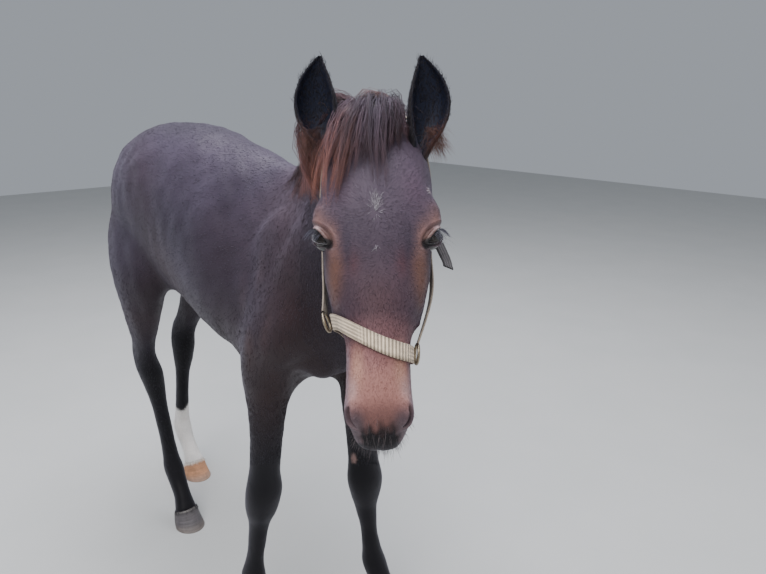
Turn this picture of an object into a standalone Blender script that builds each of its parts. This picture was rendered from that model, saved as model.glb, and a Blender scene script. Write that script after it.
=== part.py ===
"""A weanling foal of a heavy warmblood breed, life size, looking round to its right in a webbing halter.

The body is modelled whole from lofts and muscle masses, smoothed, and parted with thin cuts.
Metres. +X runs towards the chest, +Y to the foal's left, +Z up, and the hooves stand on Z = 0.
"""

import math
import random

import bmesh
import bpy
import numpy as np
from mathutils import Matrix, Vector
from mathutils.bvhtree import BVHTree

# Driving dimensions.
GAP = 0.0003
EAR_LENGTH = 0.128
EAR_WIDTH = 0.063
EYE_RADIUS = 0.0200
EYE_PROUD = 0.0065
STRAP_WIDTH = 0.024
STRAP_THICKNESS = 0.0025

# The neck bends to the right between two distances from the withers, and the head turns back a little.
BEND_START = 0.08
BEND_END = 0.50
NECK_TURN = math.radians(42)
HEAD_TURN = math.radians(39)
FACE_SLOPE = math.radians(33)
POLL_ALONG = 0.600
POLL_HEIGHT = 1.362
HEAD_SHIFT = Vector((0.024, 0.028, -0.003))

# How far each hoof stands ahead of its place under a square stance.
STRIDE = {"front_left": 0.060, "front_right": -0.095, "hind_left": -0.100, "hind_right": 0.165}
FRONT_FETLOCK = 0.10
HIND_FETLOCK = -0.80
HIP_HEIGHT = 1.05
SHOULDER_HEIGHT = 0.95
FETLOCK_HEIGHT = 0.172

# Mesh densities.
VOXEL = 0.007
SMOOTHING = 36
BODY_TRIANGLES = 6600
HEAD_SOFTNESS = 0.25
LEG_SOFTNESS = 0.12
SOFT_LEG_TOP = 0.80
SOFT_LEG_FADE = 0.25
HEAD_COARSENESS = 0.80
LEG_COARSENESS = 0.85

# Each station: name, upper outline (along, up), lower outline (along, up), half width,
# height of the widest level (0 to 1), and how pinched the upper and lower halves are.
TRUNK = [
    ("point of buttock", -0.868, 1.090, -0.860, 0.990, 0.060, 0.50, 1.00, 1.00),
    ("tail root", -0.835, 1.178, -0.830, 0.900, 0.105, 0.55, 1.00, 1.00),
    ("rump", -0.760, 1.248, -0.765, 0.840, 0.142, 0.58, 1.00, 0.95),
    ("rear of croup", -0.670, 1.292, -0.680, 0.812, 0.162, 0.60, 1.00, 0.90),
    ("croup", -0.570, 1.306, -0.580, 0.800, 0.170, 0.62, 0.95, 0.90),
    ("hips", -0.470, 1.308, -0.480, 0.797, 0.172, 0.62, 0.95, 0.90),
    ("loin", -0.350, 1.303, -0.350, 0.780, 0.168, 0.52, 0.95, 0.90),
    ("last ribs", -0.220, 1.279, -0.220, 0.752, 0.178, 0.45, 1.00, 0.92),
    ("back", -0.100, 1.258, -0.090, 0.735, 0.176, 0.42, 1.10, 0.95),
    ("withers", 0.000, 1.242, 0.020, 0.728, 0.158, 0.42, 1.35, 0.95),
    ("front of withers", 0.080, 1.236, 0.130, 0.738, 0.146, 0.45, 1.40, 0.95),
    ("shoulders", 0.150, 1.238, 0.222, 0.772, 0.138, 0.48, 1.40, 1.00),
    ("base of neck", 0.215, 1.250, 0.304, 0.855, 0.118, 0.50, 1.35, 1.00),
    ("lower neck", 0.285, 1.274, 0.355, 0.975, 0.092, 0.50, 1.25, 1.00),
    ("middle of neck", 0.365, 1.308, 0.385, 1.050, 0.076, 0.50, 1.15, 1.00),
    ("upper neck", 0.450, 1.345, 0.410, 1.120, 0.067, 0.50, 1.10, 1.00),
    ("throat", 0.530, 1.368, 0.440, 1.185, 0.062, 0.52, 1.00, 1.00),
    ("nape", 0.590, 1.370, 0.480, 1.225, 0.056, 0.55, 1.00, 1.00),
]

# In the head's own frame: along the face from the poll, and out of the face.
HEAD = [
    ("nape", -0.045, -0.040, -0.010, -0.120, 0.048, 0.55, 1.00, 1.00),
    ("poll", 0.000, 0.000, 0.015, -0.150, 0.060, 0.62, 1.00, 1.00),
    ("crown", 0.045, 0.016, 0.055, -0.188, 0.076, 0.70, 0.95, 1.00),
    ("forehead", 0.100, 0.028, 0.100, -0.210, 0.084, 0.76, 0.85, 1.00),
    ("brow", 0.150, 0.031, 0.145, -0.212, 0.084, 0.80, 0.75, 1.00),
    ("eyes", 0.195, 0.026, 0.185, -0.200, 0.079, 0.78, 0.72, 0.95),
    ("cheekbones", 0.240, 0.016, 0.230, -0.172, 0.078, 0.68, 0.72, 0.90),
    ("root of nose", 0.285, 0.008, 0.280, -0.142, 0.067, 0.62, 0.75, 0.90),
    ("nose", 0.330, 0.001, 0.330, -0.118, 0.048, 0.60, 0.78, 0.92),
    ("end of nose", 0.380, -0.003, 0.375, -0.104, 0.046, 0.58, 0.80, 0.90),
    ("nostrils", 0.425, -0.010, 0.420, -0.102, 0.047, 0.55, 0.85, 0.90),
    ("muzzle", 0.457, -0.026, 0.449, -0.106, 0.042, 0.52, 0.85, 0.85),
    ("lips", 0.479, -0.050, 0.470, -0.100, 0.028, 0.50, 0.90, 0.90),
    ("lip tip", 0.489, -0.070, 0.482, -0.086, 0.011, 0.50, 1.00, 1.00),
]

# In a square stance, ahead of the fetlock: front outline, rear outline, distance from the midline, half width.
FORELEG = [
    ("shoulder blade", 0.085, 1.120, -0.075, 1.100, 0.080, 0.040),
    ("shoulder", 0.175, 0.985, -0.060, 0.960, 0.104, 0.050),
    ("upper arm", 0.165, 0.885, -0.070, 0.850, 0.120, 0.058),
    ("elbow", 0.108, 0.800, -0.062, 0.775, 0.122, 0.056),
    ("top of forearm", 0.080, 0.730, -0.050, 0.725, 0.120, 0.053),
    ("forearm", 0.060, 0.650, -0.039, 0.650, 0.117, 0.047),
    ("lower forearm", 0.044, 0.560, -0.030, 0.560, 0.117, 0.040),
    ("above the knee", 0.042, 0.490, -0.031, 0.490, 0.118, 0.040),
    ("knee", 0.051, 0.430, -0.037, 0.430, 0.120, 0.0480),
    ("below the knee", 0.040, 0.376, -0.037, 0.376, 0.122, 0.040),
    ("top of cannon", 0.026, 0.335, -0.033, 0.335, 0.125, 0.028),
    ("cannon", 0.022, 0.270, -0.030, 0.270, 0.131, 0.0230),
    ("end of cannon", 0.024, 0.210, -0.033, 0.208, 0.137, 0.0250),
    ("fetlock", 0.034, 0.172, -0.040, 0.162, 0.141, 0.0320),
    ("top of pastern", 0.052, 0.135, -0.012, 0.112, 0.143, 0.0285),
    ("pastern", 0.079, 0.102, 0.018, 0.076, 0.145, 0.0285),
    ("coronet", 0.105, 0.064, 0.038, 0.036, 0.147, 0.036),
    ("under the coronet", 0.118, 0.040, 0.050, 0.012, 0.148, 0.036),
]
HINDLEG = [
    ("hip", 0.300, 1.110, -0.045, 1.050, 0.078, 0.060),
    ("thigh", 0.300, 1.000, -0.062, 0.980, 0.098, 0.070),
    ("lower thigh", 0.285, 0.900, -0.056, 0.900, 0.114, 0.070),
    ("stifle", 0.262, 0.832, -0.034, 0.832, 0.124, 0.064),
    ("top of gaskin", 0.190, 0.745, -0.012, 0.768, 0.122, 0.055),
    ("gaskin", 0.116, 0.665, -0.018, 0.692, 0.116, 0.044),
    ("end of gaskin", 0.056, 0.592, -0.044, 0.626, 0.108, 0.034),
    ("top of hock", 0.042, 0.545, -0.080, 0.578, 0.102, 0.033),
    ("hock", 0.042, 0.500, -0.074, 0.524, 0.097, 0.038),
    ("below the hock", 0.034, 0.455, -0.048, 0.464, 0.092, 0.034),
    ("top of cannon", 0.026, 0.400, -0.037, 0.402, 0.087, 0.0265),
    ("cannon", 0.024, 0.320, -0.033, 0.320, 0.082, 0.0235),
    ("end of cannon", 0.026, 0.222, -0.034, 0.218, 0.078, 0.0260),
    ("fetlock", 0.035, 0.180, -0.040, 0.170, 0.076, 0.0325),
    ("top of pastern", 0.053, 0.140, -0.010, 0.115, 0.076, 0.0285),
    ("pastern", 0.080, 0.102, 0.020, 0.076, 0.077, 0.0280),
    ("coronet", 0.105, 0.064, 0.040, 0.036, 0.078, 0.035),
    ("under the coronet", 0.118, 0.040, 0.052, 0.012, 0.079, 0.035),
]

# Muscle and bone masses on the left side, mirrored to the right: centre, radii, and tilt in degrees.
BODY_MASSES = [
    ("shoulder muscle", (0.110, 0.094, 1.000), (0.105, 0.038, 0.170), 30),
    ("point of shoulder", (0.215, 0.092, 0.905), (0.052, 0.040, 0.066), 0),
    ("triceps", (0.020, 0.120, 0.865), (0.110, 0.038, 0.095), -25),
    ("breast", (0.215, 0.052, 0.830), (0.055, 0.050, 0.062), 15),
    ("armpit", (0.080, 0.072, 0.752), (0.060, 0.046, 0.055), 0),
    ("gluteal", (-0.610, 0.088, 1.185), (0.155, 0.060, 0.080), -8),
    ("hip point", (-0.480, 0.128, 1.190), (0.050, 0.036, 0.050), 0),
    ("thigh front", (-0.575, 0.136, 0.910), (0.062, 0.040, 0.100), 20),
    ("buttock", (-0.795, 0.078, 1.010), (0.056, 0.048, 0.130), -8),
]

# The same in the head's frame: along the face, to the left, out of the face.
HEAD_MASSES = [
    ("brow bone", (0.168, 0.071, -0.012), (0.038, 0.024, 0.028), 0),
    ("cheek muscle", (0.120, 0.050, -0.125), (0.088, 0.022, 0.078), -14),
    ("facial crest", (0.262, 0.060, -0.052), (0.062, 0.011, 0.012), 4),
    ("nostril wing", (0.434, 0.036, -0.038), (0.030, 0.014, 0.026), -20),
    ("upper lip", (0.463, 0.012, -0.062), (0.027, 0.026, 0.027), 0),
    ("chin", (0.447, 0.009, -0.102), (0.025, 0.016, 0.015), 0),
]

# Along the face, to the side and out of the face: where a cheek strap runs from its ring to the poll.
CHEEK_ROUTE = [
    (0.290, 0.060, -0.065),
    (0.240, 0.070, -0.078),
    (0.190, 0.090, -0.088),
    (0.130, 0.100, -0.090),
    (0.075, 0.090, -0.070),
    (0.020, 0.078, -0.048),
    (-0.018, 0.058, -0.018),
    (-0.034, 0.032, 0.010),
    (-0.038, 0.000, 0.020),
]

# Height, width, sway outward, half the opening in degrees, and thickness of an ear.
EAR = [
    (-0.24, 0.44, -0.04, 30, 0.0140),
    (0.00, 0.66, 0.10, 34, 0.0150),
    (0.16, 0.86, 0.20, 48, 0.0060),
    (0.34, 0.99, 0.28, 62, 0.0045),
    (0.54, 0.98, 0.30, 70, 0.0042),
    (0.74, 0.74, 0.27, 77, 0.0038),
    (0.88, 0.42, 0.20, 80, 0.0034),
    (1.00, 0.08, 0.10, 82, 0.0015),
]

# Along, height, half width and half depth of the tail's outline, from the croup to the tips.
TAIL = [
    (-0.800, 1.200, 0.030, 0.024),
    (-0.850, 1.178, 0.030, 0.024),
    (-0.893, 1.142, 0.034, 0.027),
    (-0.922, 1.080, 0.042, 0.032),
    (-0.932, 1.000, 0.052, 0.038),
    (-0.937, 0.900, 0.060, 0.042),
    (-0.938, 0.800, 0.060, 0.042),
    (-0.936, 0.720, 0.052, 0.036),
    (-0.932, 0.640, 0.040, 0.028),
]

# Where the forelock's locks end: place between the ears (-1 right, 1 left), down the face, to the left.
FORELOCK_FALLS = [
    (-1.0, 0.142, -0.072),
    (-0.5, 0.132, -0.048),
    (0.0, 0.128, -0.012),
    (0.5, 0.095, 0.026),
    (1.0, 0.068, 0.046),
]

# In the head's frame, for the left side: where an eye is set, which way it looks, and its opening's long way.
EYE_PLACE = (0.190, 0.040, -0.036)
EYE_LOOK = (0.12, 0.80, 0.58)
EYE_SLANT = (0.64, -0.51, 0.575)
SOCKET_FIT = 0.985
LID_LENGTH = 0.0172
LID_HEIGHT = 0.0092
LOWER_LID = 0.75
LID_POINT = 1.3
LID_THICKNESS = 0.0026

# In the head's frame: the nostrils, the line of the mouth, and where an ear starts and points.
NOSTRIL_PLACE = (0.430, 0.012, -0.052)
NOSTRIL_AIM = (0.36, 0.64, 0.62)
NOSTRIL_SLANT = (0.92, -0.20, -0.28)
NOSTRIL_RADII = (0.0160, 0.0054, 0.018)
MOUTH_PLACE = (0.440, 0, -0.0855)
MOUTH_SWEEP = math.radians(118)
MOUTH_RISE = 0.10
MOUTH_DEPTH = 0.0022
EAR_PLACE = (0.050, 0.062, -0.010)
EAR_UP = (-0.86, 0.04, 0.50)
EAR_FRONT = (0.50, 0.10, 0.86)
EAR_LEAN = -0.035
EAR_OFFSET = -0.003
EAR_DEPTH = 0.80

# Each hoof from the coronet down: how far down, half length, half width, how far ahead.
HOOF = [(0, 0.037, 0.0355, 0), (0.12, 0.040, 0.038, 0.002), (1, 0.052, 0.046, 0.020)]
HEEL_BLUNT = 0.86
HOOF_SLOPE = 1.2

# Where the body is parted: top and foot of the cuts of the neck, heights of the legs' cuts, and plate sizes.
HEAD_CUT = ((-0.055, 0, 0.030), (0.075, 0, -0.215))
NECK_CUT = ((0.100, 0, 1.300), (0.345, 0, 0.845))
FRONT_LEG_CUT = 0.700
HIND_LEG_CUT = 0.770
HEAD_PLATE = (0.36, 0.30)
NECK_PLATE = (0.62, 0.50)
LEG_PLATE = (0.36, 0.24)
CORONET_PLATE = (0.15, 0.13)
NOSEBAND_PLACE = 0.342
NOSEBAND_SLANT = 0.025
NOSEBAND_TILT = 0.008
NOSEBAND_DROP = 0.010
BAND_CLEARANCE = 0.0012
HEADSTALL_CLEARANCE = 0.0040
RING_RADIUS = 0.014
RING_BAR = 0.0022
RING_LIFT = 0.0105
RING_HEIGHT = -0.058
BAND_AXIS = -0.055
HEADSTALL_WIDTH = 0.8 * STRAP_WIDTH

# Hair: how many locks, their width, thickness and length, and the seed that varies them.
MANE_SEED = 10
FORELOCK_SEED = 8
TAIL_SEED = 9
HAIR_SOLVER = "MANIFOLD"
MANE_LOCKS = 36
MANE_START = 0.150
MANE_END = 0.545
MANE_LENGTH = 0.150
MANE_LIFT = 0.021
CREST_WIDTH = 0.020
FORELOCK_LOCKS = 18
FORELOCK_LIFT = 0.030
FORELOCK_STEP = 0.013
LOCK_WIDTH = 0.022
LOCK_THICKNESS = 0.0045
LOCK_POINTS = 6
ROOT_SINK = 0.008
LOCK_PULL = 0.28
DOCK_WIDTH = 0.72
DOCK_DEPTH = 0.80
SHARP_ANGLE = math.radians(50)

# A lock's width along it, as shares of its length and of its width.
LOCK_OUTLINE = ((0, 0.3, 0.6, 1), (0.45, 1.0, 0.85, 0.0))

# Each layer of the tail from the inside out: locks, reach towards the outline, height of the roots.
TAIL_LAYERS = [(6, 0.42, 1.00), (11, 0.72, 1.06), (14, 1.00, 1.12)]

HIDE = (0.020, 0.016, 0.016)
LOOKS = [
    ("head", (HIDE, 0.60)),
    ("neck", (HIDE, 0.60)),
    ("torso", (HIDE, 0.60)),
    ("leg", ((0.012, 0.010, 0.011), 0.60)),
    ("ear", ((0.014, 0.011, 0.011), 0.70)),
    ("eye", ((0.012, 0.008, 0.006), 0.08)),
    ("tail", ((0.015, 0.011, 0.010), 0.65)),
    ("hoof_hind_left", ((0.50, 0.27, 0.16), 0.50)),
    ("hoof", ((0.09, 0.08, 0.085), 0.50)),
    ("halter_ring", ((0.55, 0.50, 0.42), 0.35, 1.0)),
    ("halter", ((0.42, 0.34, 0.24), 0.80)),
]


def bend(point):
    """A point of the straight trunk, carried round the neck's bend to the right."""
    over = point.x - BEND_START
    if over <= 0:
        return point.copy()
    length = BEND_END - BEND_START
    radius = length / NECK_TURN
    turn = NECK_TURN * min(over / length, 1)
    beyond = max(over - length, 0)
    x = BEND_START + radius * math.sin(turn) + beyond * math.cos(turn) + point.y * math.sin(turn)
    y = -radius * (1 - math.cos(turn)) - beyond * math.sin(turn) + point.y * math.cos(turn)
    return Vector((x, y, point.z))


def head_frame():
    """The matrix from the head's frame, along, left and out of the face, to the world."""
    ahead = Vector((math.cos(HEAD_TURN), -math.sin(HEAD_TURN), 0))
    up = Vector((0, 0, 1))
    along = ahead * math.sin(FACE_SLOPE) - up * math.cos(FACE_SLOPE)
    out = ahead * math.cos(FACE_SLOPE) + up * math.sin(FACE_SLOPE)
    left = out.cross(along)
    frame = Matrix((along, left, out)).transposed().to_4x4()
    frame.translation = bend(Vector((POLL_ALONG, 0, POLL_HEIGHT))) + HEAD_SHIFT
    return frame


def between(rows, per_gap):
    """Rows of numbers with smooth Catmull-Rom rows set between them."""
    rows = np.array(rows, float)
    padded = np.vstack([2 * rows[0] - rows[1], rows, 2 * rows[-1] - rows[-2]])
    filled = []
    for i in range(1, len(padded) - 2):
        before, start, end, after = padded[i - 1 : i + 3]
        for t in np.arange(per_gap) / per_gap:
            filled.append(
                start
                + 0.5 * t * (end - before)
                + t * t * (before - 2.5 * start + 2 * end - 0.5 * after)
                + 0.5 * t**3 * (3 * start - before - 3 * end + after)
            )
    return np.vstack([filled, rows[-1:]])


def signed_power(value, power):
    return math.copysign(abs(value) ** power, value)


def ring(top, bottom, side, widest, arch, keel, count):
    """One closed cross-section through an upper and a lower outline point."""
    centre = bottom.lerp(top, widest)
    points = []
    for i in range(count):
        turn = 2 * math.pi * i / count
        power, reach = (arch, top - centre) if i < count / 2 else (keel, centre - bottom)
        across = side * signed_power(math.cos(turn), power)
        points.append(centre + across + reach * signed_power(math.sin(turn), power))
    return points


def skinned(name, rings):
    """A closed mesh object through rings of equally many points."""
    bm = bmesh.new()
    loops = [[bm.verts.new(p) for p in points] for points in rings]
    for first, second in zip(loops, loops[1:]):
        for i in range(len(first)):
            j = (i + 1) % len(first)
            bm.faces.new((first[i], first[j], second[j], second[i]))
    bm.faces.new(loops[0])
    bm.faces.new(loops[-1])
    outward(bm)
    return object_of(name, bm)


def outward(bm):
    bm.normal_update()
    bmesh.ops.recalc_face_normals(bm, faces=bm.faces)


def object_of(name, bm):
    mesh = bpy.data.meshes.new(name)
    bm.to_mesh(mesh)
    bm.free()
    obj = bpy.data.objects.new(name, mesh)
    bpy.context.scene.collection.objects.link(obj)
    return obj


def sagittal_loft(name, rows, place, count=28, per_gap=4):
    """A loft through stations given in a side view, set in the world by place."""
    rings = []
    for ax, az, bx, bz, width, widest, arch, keel in between([r[1:] for r in rows], per_gap):
        points = ring(
            Vector((ax, 0, az)), Vector((bx, 0, bz)), Vector((0, width, 0)), widest, arch, keel, count
        )
        rings.append([place(p) for p in points])
    return skinned(name, rings)


def leg_loft(name, rows, fetlock, pivot, stride, side):
    """A leg whose lower end stands stride ahead of a square stance, turning about its pivot height."""
    rings = []
    for ax, az, bx, bz, y, width in between([r[1:] for r in rows], 4):
        lean = [stride * min(max((pivot - z) / (pivot - FETLOCK_HEIGHT), 0), 1) for z in (az, bz)]
        front = Vector((fetlock + ax + lean[0], side * y, az))
        rear = Vector((fetlock + bx + lean[1], side * y, bz))
        rings.append(ring(front, rear, Vector((0, width, 0)), 0.5, 0.92, 0.92, 24))
    return skinned(name, rings)


def mass(name, centre, radii, tilt, place=Matrix.Identity(4)):
    bm = bmesh.new()
    bmesh.ops.create_icosphere(bm, subdivisions=3, radius=1)
    turn = Matrix.Rotation(math.radians(tilt), 4, "Y")
    matrix = place @ Matrix.Translation(centre) @ turn @ Matrix.Diagonal((*radii, 1))
    bm.transform(matrix)
    outward(bm)
    return object_of(name, bm)


def mirrored(centre, side):
    return Vector((centre[0], centre[1] * side, centre[2]))


def joined(name, objects):
    """One object that holds the meshes of several, which are removed."""
    bm = bmesh.new()
    for obj in objects:
        bm.from_mesh(obj.data)
        bpy.data.objects.remove(obj)
    return object_of(name, bm)


def applied(obj):
    """Puts what the object's modifiers make into its mesh."""
    graph = bpy.context.evaluated_depsgraph_get()
    obj.data = bpy.data.meshes.new_from_object(obj.evaluated_get(graph))
    obj.modifiers.clear()
    return obj


def body_clay():
    """Lofts and masses of the whole body, as one object of overlapping closed shells."""
    head = head_frame()
    clay = [
        sagittal_loft("trunk", TRUNK, bend, 36),
        sagittal_loft("head", HEAD, lambda p: head @ p, 32),
    ]
    for side, name in ((1, "left"), (-1, "right")):
        clay.append(
            leg_loft("fore", FORELEG, FRONT_FETLOCK, SHOULDER_HEIGHT, STRIDE["front_" + name], side)
        )
        clay.append(leg_loft("hind", HINDLEG, HIND_FETLOCK, HIP_HEIGHT, STRIDE["hind_" + name], side))
        for label, centre, radii, tilt in BODY_MASSES:
            clay.append(mass(label, mirrored(centre, side), radii, tilt))
        for label, centre, radii, tilt in HEAD_MASSES:
            clay.append(mass(label, mirrored(centre, side), radii, tilt, head))
    return joined("body", clay)


def smooth_body():
    """The clay as one skin, blended where its pieces meet."""
    body = body_clay()
    remesh = body.modifiers.new("remesh", "REMESH")
    remesh.mode = "VOXEL"
    remesh.voxel_size = VOXEL
    applied(body)
    soft = body.vertex_groups.new(name="soft")
    fine = body.vertex_groups.new(name="fine")
    head = head_frame().inverted()
    for vertex in body.data.vertices:
        in_head = (head @ vertex.co).x > -0.01 and vertex.co.x > 0.35
        leg = min(max((SOFT_LEG_TOP - vertex.co.z) / SOFT_LEG_FADE, 0), 1)
        soft.add([vertex.index], HEAD_SOFTNESS if in_head else 1 - (1 - LEG_SOFTNESS) * leg, "REPLACE")
        coarse = HEAD_COARSENESS if in_head else 1 - (1 - LEG_COARSENESS) * leg
        fine.add([vertex.index], coarse, "REPLACE")
    smooth = body.modifiers.new("smooth", "SMOOTH")
    smooth.factor = 0.5
    smooth.iterations = SMOOTHING
    smooth.vertex_group = "soft"
    decimate = body.modifiers.new("decimate", "DECIMATE")
    decimate.ratio = BODY_TRIANGLES / (2 * len(body.data.polygons))
    decimate.vertex_group = "fine"
    decimate.vertex_group_factor = 1.0
    decimate.use_collapse_triangulate = True
    return applied(body)


def plate(name, centre, normal, side, length, width, thickness=GAP):
    """A thin box across normal, with its width along side."""
    normal = normal.normalized()
    side = (side - normal * side.dot(normal)).normalized()
    frame = Matrix((side.cross(normal), side, normal)).transposed().to_4x4()
    frame.translation = centre
    bm = bmesh.new()
    bmesh.ops.create_cube(bm, size=1)
    bm.transform(frame @ Matrix.Diagonal((length, width, thickness, 1)))
    outward(bm)
    return object_of(name, bm)


def boolean(obj, others, operation, solver="EXACT"):
    """Joins other objects to a piece, or cuts them from it, and removes them."""
    group = bpy.data.collections.new("operands")
    for other in others:
        group.objects.link(other)
    modifier = obj.modifiers.new(operation, "BOOLEAN")
    modifier.operand_type = "COLLECTION"
    modifier.collection = group
    modifier.operation = operation
    modifier.solver = solver
    applied(obj)
    for other in others:
        bpy.data.objects.remove(other)
    bpy.data.collections.remove(group)
    return obj


def shells(obj):
    """The separate closed surfaces of a mesh, as sets of face numbers, and the size of each."""
    mesh = obj.data
    bm = bmesh.new()
    bm.from_mesh(mesh)
    left = set(bm.faces)
    found = []
    while left:
        stack = [left.pop()]
        group = [stack[0]]
        while stack:
            for edge in stack.pop().edges:
                for face in edge.link_faces:
                    if face in left:
                        left.remove(face)
                        stack.append(face)
                        group.append(face)
        found.append([face.index for face in group])
    bm.free()
    return found


def kept_faces(obj, name, faces):
    """A new object with only the given faces of another."""
    bm = bmesh.new()
    bm.from_mesh(obj.data)
    keep = set(faces)
    bmesh.ops.delete(bm, geom=[f for f in bm.faces if f.index not in keep], context="FACES")
    return object_of(name, bm)


def box_centre(obj):
    points = np.array([v.co for v in obj.data.vertices])
    return Vector((points.min(axis=0) + points.max(axis=0)) / 2)


def largest(obj):
    """Keeps only the largest closed surface of a piece."""
    groups = shells(obj)
    if len(groups) > 1:
        areas = [sum(obj.data.polygons[i].area for i in group) for group in groups]
        piece = kept_faces(obj, "largest", groups[areas.index(max(areas))])
        obj.data = piece.data
        bpy.data.objects.remove(piece)
    return obj


def turned_diagonals(bm):
    """Turns the shared side of two triangles where it lies over a side of two others."""
    for edge in [e for e in bm.edges if len(e.link_faces) == 4]:
        faces = list(edge.link_faces)
        pairs = [(f, g) for i, f in enumerate(faces) for g in faces[i + 1 :]]
        pairs.sort(key=lambda pair: -pair[0].normal.dot(pair[1].normal))
        for first, second in pairs:
            ends = [next(v for v in face.verts if v not in edge.verts) for face in (first, second)]
            if ends[0] is ends[1] or bm.edges.get(ends):
                continue
            loop = next(l for l in first.loops if l.edge is edge)
            start, end = loop.vert, loop.link_loop_next.vert
            bm.faces.remove(first)
            bm.faces.remove(second)
            bm.faces.new((ends[0], start, ends[1]))
            bm.faces.new((ends[1], end, ends[0]))
            break


def triangulated(obj):
    bm = bmesh.new()
    bm.from_mesh(obj.data)
    bmesh.ops.triangulate(bm, faces=bm.faces, quad_method="SHORT_EDGE", ngon_method="BEAUTY")
    turned_diagonals(bm)
    bm.to_mesh(obj.data)
    bm.free()
    return obj


def surface(obj):
    bm = bmesh.new()
    bm.from_mesh(obj.data)
    tree = BVHTree.FromBMesh(bm)
    bm.free()
    return tree


def swollen(obj, by):
    """A copy of a piece, pushed out by a little."""
    bm = bmesh.new()
    bm.from_mesh(obj.data)
    bm.normal_update()
    moves = [vertex.normal * by for vertex in bm.verts]
    for vertex, move in zip(bm.verts, moves):
        vertex.co += move
    return object_of(obj.name + " swollen", bm)


def leg_point(rows, label, fetlock, stride, side):
    """The front and rear outline points of a leg's station below the pivot's lean."""
    ax, az, bx, bz, y, _ = next(row[1:] for row in rows if row[0] == label)
    front = Vector((fetlock + ax + stride, side * y, az))
    return front, Vector((fetlock + bx + stride, side * y, bz))


def legs():
    """Each leg's name, stations, fetlock place, stride and side."""
    for side, name in ((1, "left"), (-1, "right")):
        yield "front_" + name, FORELEG, FRONT_FETLOCK, STRIDE["front_" + name], side
        yield "hind_" + name, HINDLEG, HIND_FETLOCK, STRIDE["hind_" + name], side


def coronet_frame(rows, fetlock, stride, side):
    """The middle of the cut above a hoof, and its slope."""
    front, rear = leg_point(rows, "coronet", fetlock, stride, side)
    return (front + rear) / 2, front - rear


def head_cut(head):
    """The middle, forward normal and leftward direction of the cut between neck and head."""
    top, low = (head @ Vector(spot) for spot in HEAD_CUT)
    across = (head.to_3x3() @ Vector((0, 1, 0))).normalized()
    return (top + low) / 2, across.cross(top - low).normalized(), across


def neck_cut():
    """The middle, forward normal and leftward direction of the cut between torso and neck."""
    crest, breast = (bend(Vector(spot)) for spot in NECK_CUT)
    across = (bend(Vector((0.22, 1, 1))) - bend(Vector((0.22, 0, 1)))).normalized()
    return (crest + breast) / 2, across.cross(crest - breast).normalized(), across


def neck_planes(head):
    """The two cuts of the neck, each with its normal pointing out of the neck."""
    front, ahead, _ = head_cut(head)
    rear, onward, _ = neck_cut()
    return (front, ahead), (rear, -onward)


def parted_body():
    """The body cut into head, neck, torso and legs by thin plates."""
    body = smooth_body()
    head = head_frame()
    up = Vector((0, 0, 1))
    left = Vector((0, 1, 0))
    cuts = [plate("head cut", *head_cut(head), *HEAD_PLATE), plate("neck cut", *neck_cut(), *NECK_PLATE)]
    places = {
        "head": head @ Vector((0.25, 0, -0.08)),
        "neck": bend(Vector((0.35, 0, 1.15))),
        "torso": Vector((-0.30, 0, 1.02)),
    }
    for name, rows, fetlock, stride, side in legs():
        front_leg = rows is FORELEG
        height = FRONT_LEG_CUT if front_leg else HIND_LEG_CUT
        reach = fetlock + (0.03 if front_leg else 0.10)
        centre = Vector((reach + 0.3 * stride, side * 0.135, height))
        cuts.append(plate(name + " cut", centre, up, left, *LEG_PLATE))
        centre, slope = coronet_frame(rows, fetlock, stride, side)
        cuts.append(plate(name + " coronet cut", centre, left.cross(slope), left, *CORONET_PLATE))
        places["leg_" + name] = centre + up * 0.36 - slope * 0.5
        places["stub_" + name] = centre - up * 0.03 + slope * 0.1
    boolean(body, cuts, "DIFFERENCE")
    pieces = {}
    for group in shells(body):
        piece = kept_faces(body, "piece", group)
        spot = box_centre(piece)
        name = min(places, key=lambda n: (places[n] - spot).length)
        if name in pieces or name.startswith("stub"):
            bpy.data.objects.remove(piece)
            continue
        piece.name = name
        pieces[name] = piece
    bpy.data.objects.remove(body)
    return pieces


def hoof(name, rows, fetlock, stride, side):
    """A hoof from its slanted coronet to a flat sole."""
    centre, slope = coronet_frame(rows, fetlock, stride, side)
    lean = slope.normalized()
    normal = Vector((0, 1, 0)).cross(lean) * -1
    top_centre = centre - normal * GAP
    rings = []
    count = 20
    for down, half_length, half_width, ahead in HOOF:
        points = []
        for i in range(count):
            turn = 2 * math.pi * i / count
            run, across = math.cos(turn), math.sin(turn)
            run = run if run > 0 else run * HEEL_BLUNT
            high = top_centre + lean * (half_length * run) + Vector((0, half_width * across, 0))
            floor = Vector((top_centre.x + ahead * HOOF_SLOPE + half_length * run, high.y, 0))
            points.append(high.lerp(floor, down))
        rings.append(points)
    return skinned(name, rings)


def eye_seat(tree, head, side):
    """The centre of an eyeball and the direction it looks."""
    start = head @ mirrored(EYE_PLACE, side)
    look = (head.to_3x3() @ mirrored(EYE_LOOK, side)).normalized()
    spot = tree.ray_cast(start + look * 0.2, -look)[0]
    return spot - look * (EYE_RADIUS - EYE_PROUD), look


def tube(name, points, radii, sides, closed):
    """A round bar along points, closed on itself or with flat ends."""
    rings = []
    count = len(points)
    for i, point in enumerate(points):
        after = points[(i + 1) % count] if closed or i + 1 < count else point
        before = points[i - 1] if closed or i else point
        along = (after - before).normalized()
        lift = along.orthogonal() if not rings else (rings[-1][0] - points[i - 1])
        lift = (lift - along * lift.dot(along)).normalized()
        other = along.cross(lift)
        turns = [2 * math.pi * k / sides for k in range(sides)]
        rings.append([point + (lift * math.cos(t) + other * math.sin(t)) * radii[i] for t in turns])
    return looped(name, rings) if closed else skinned(name, rings)


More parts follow.
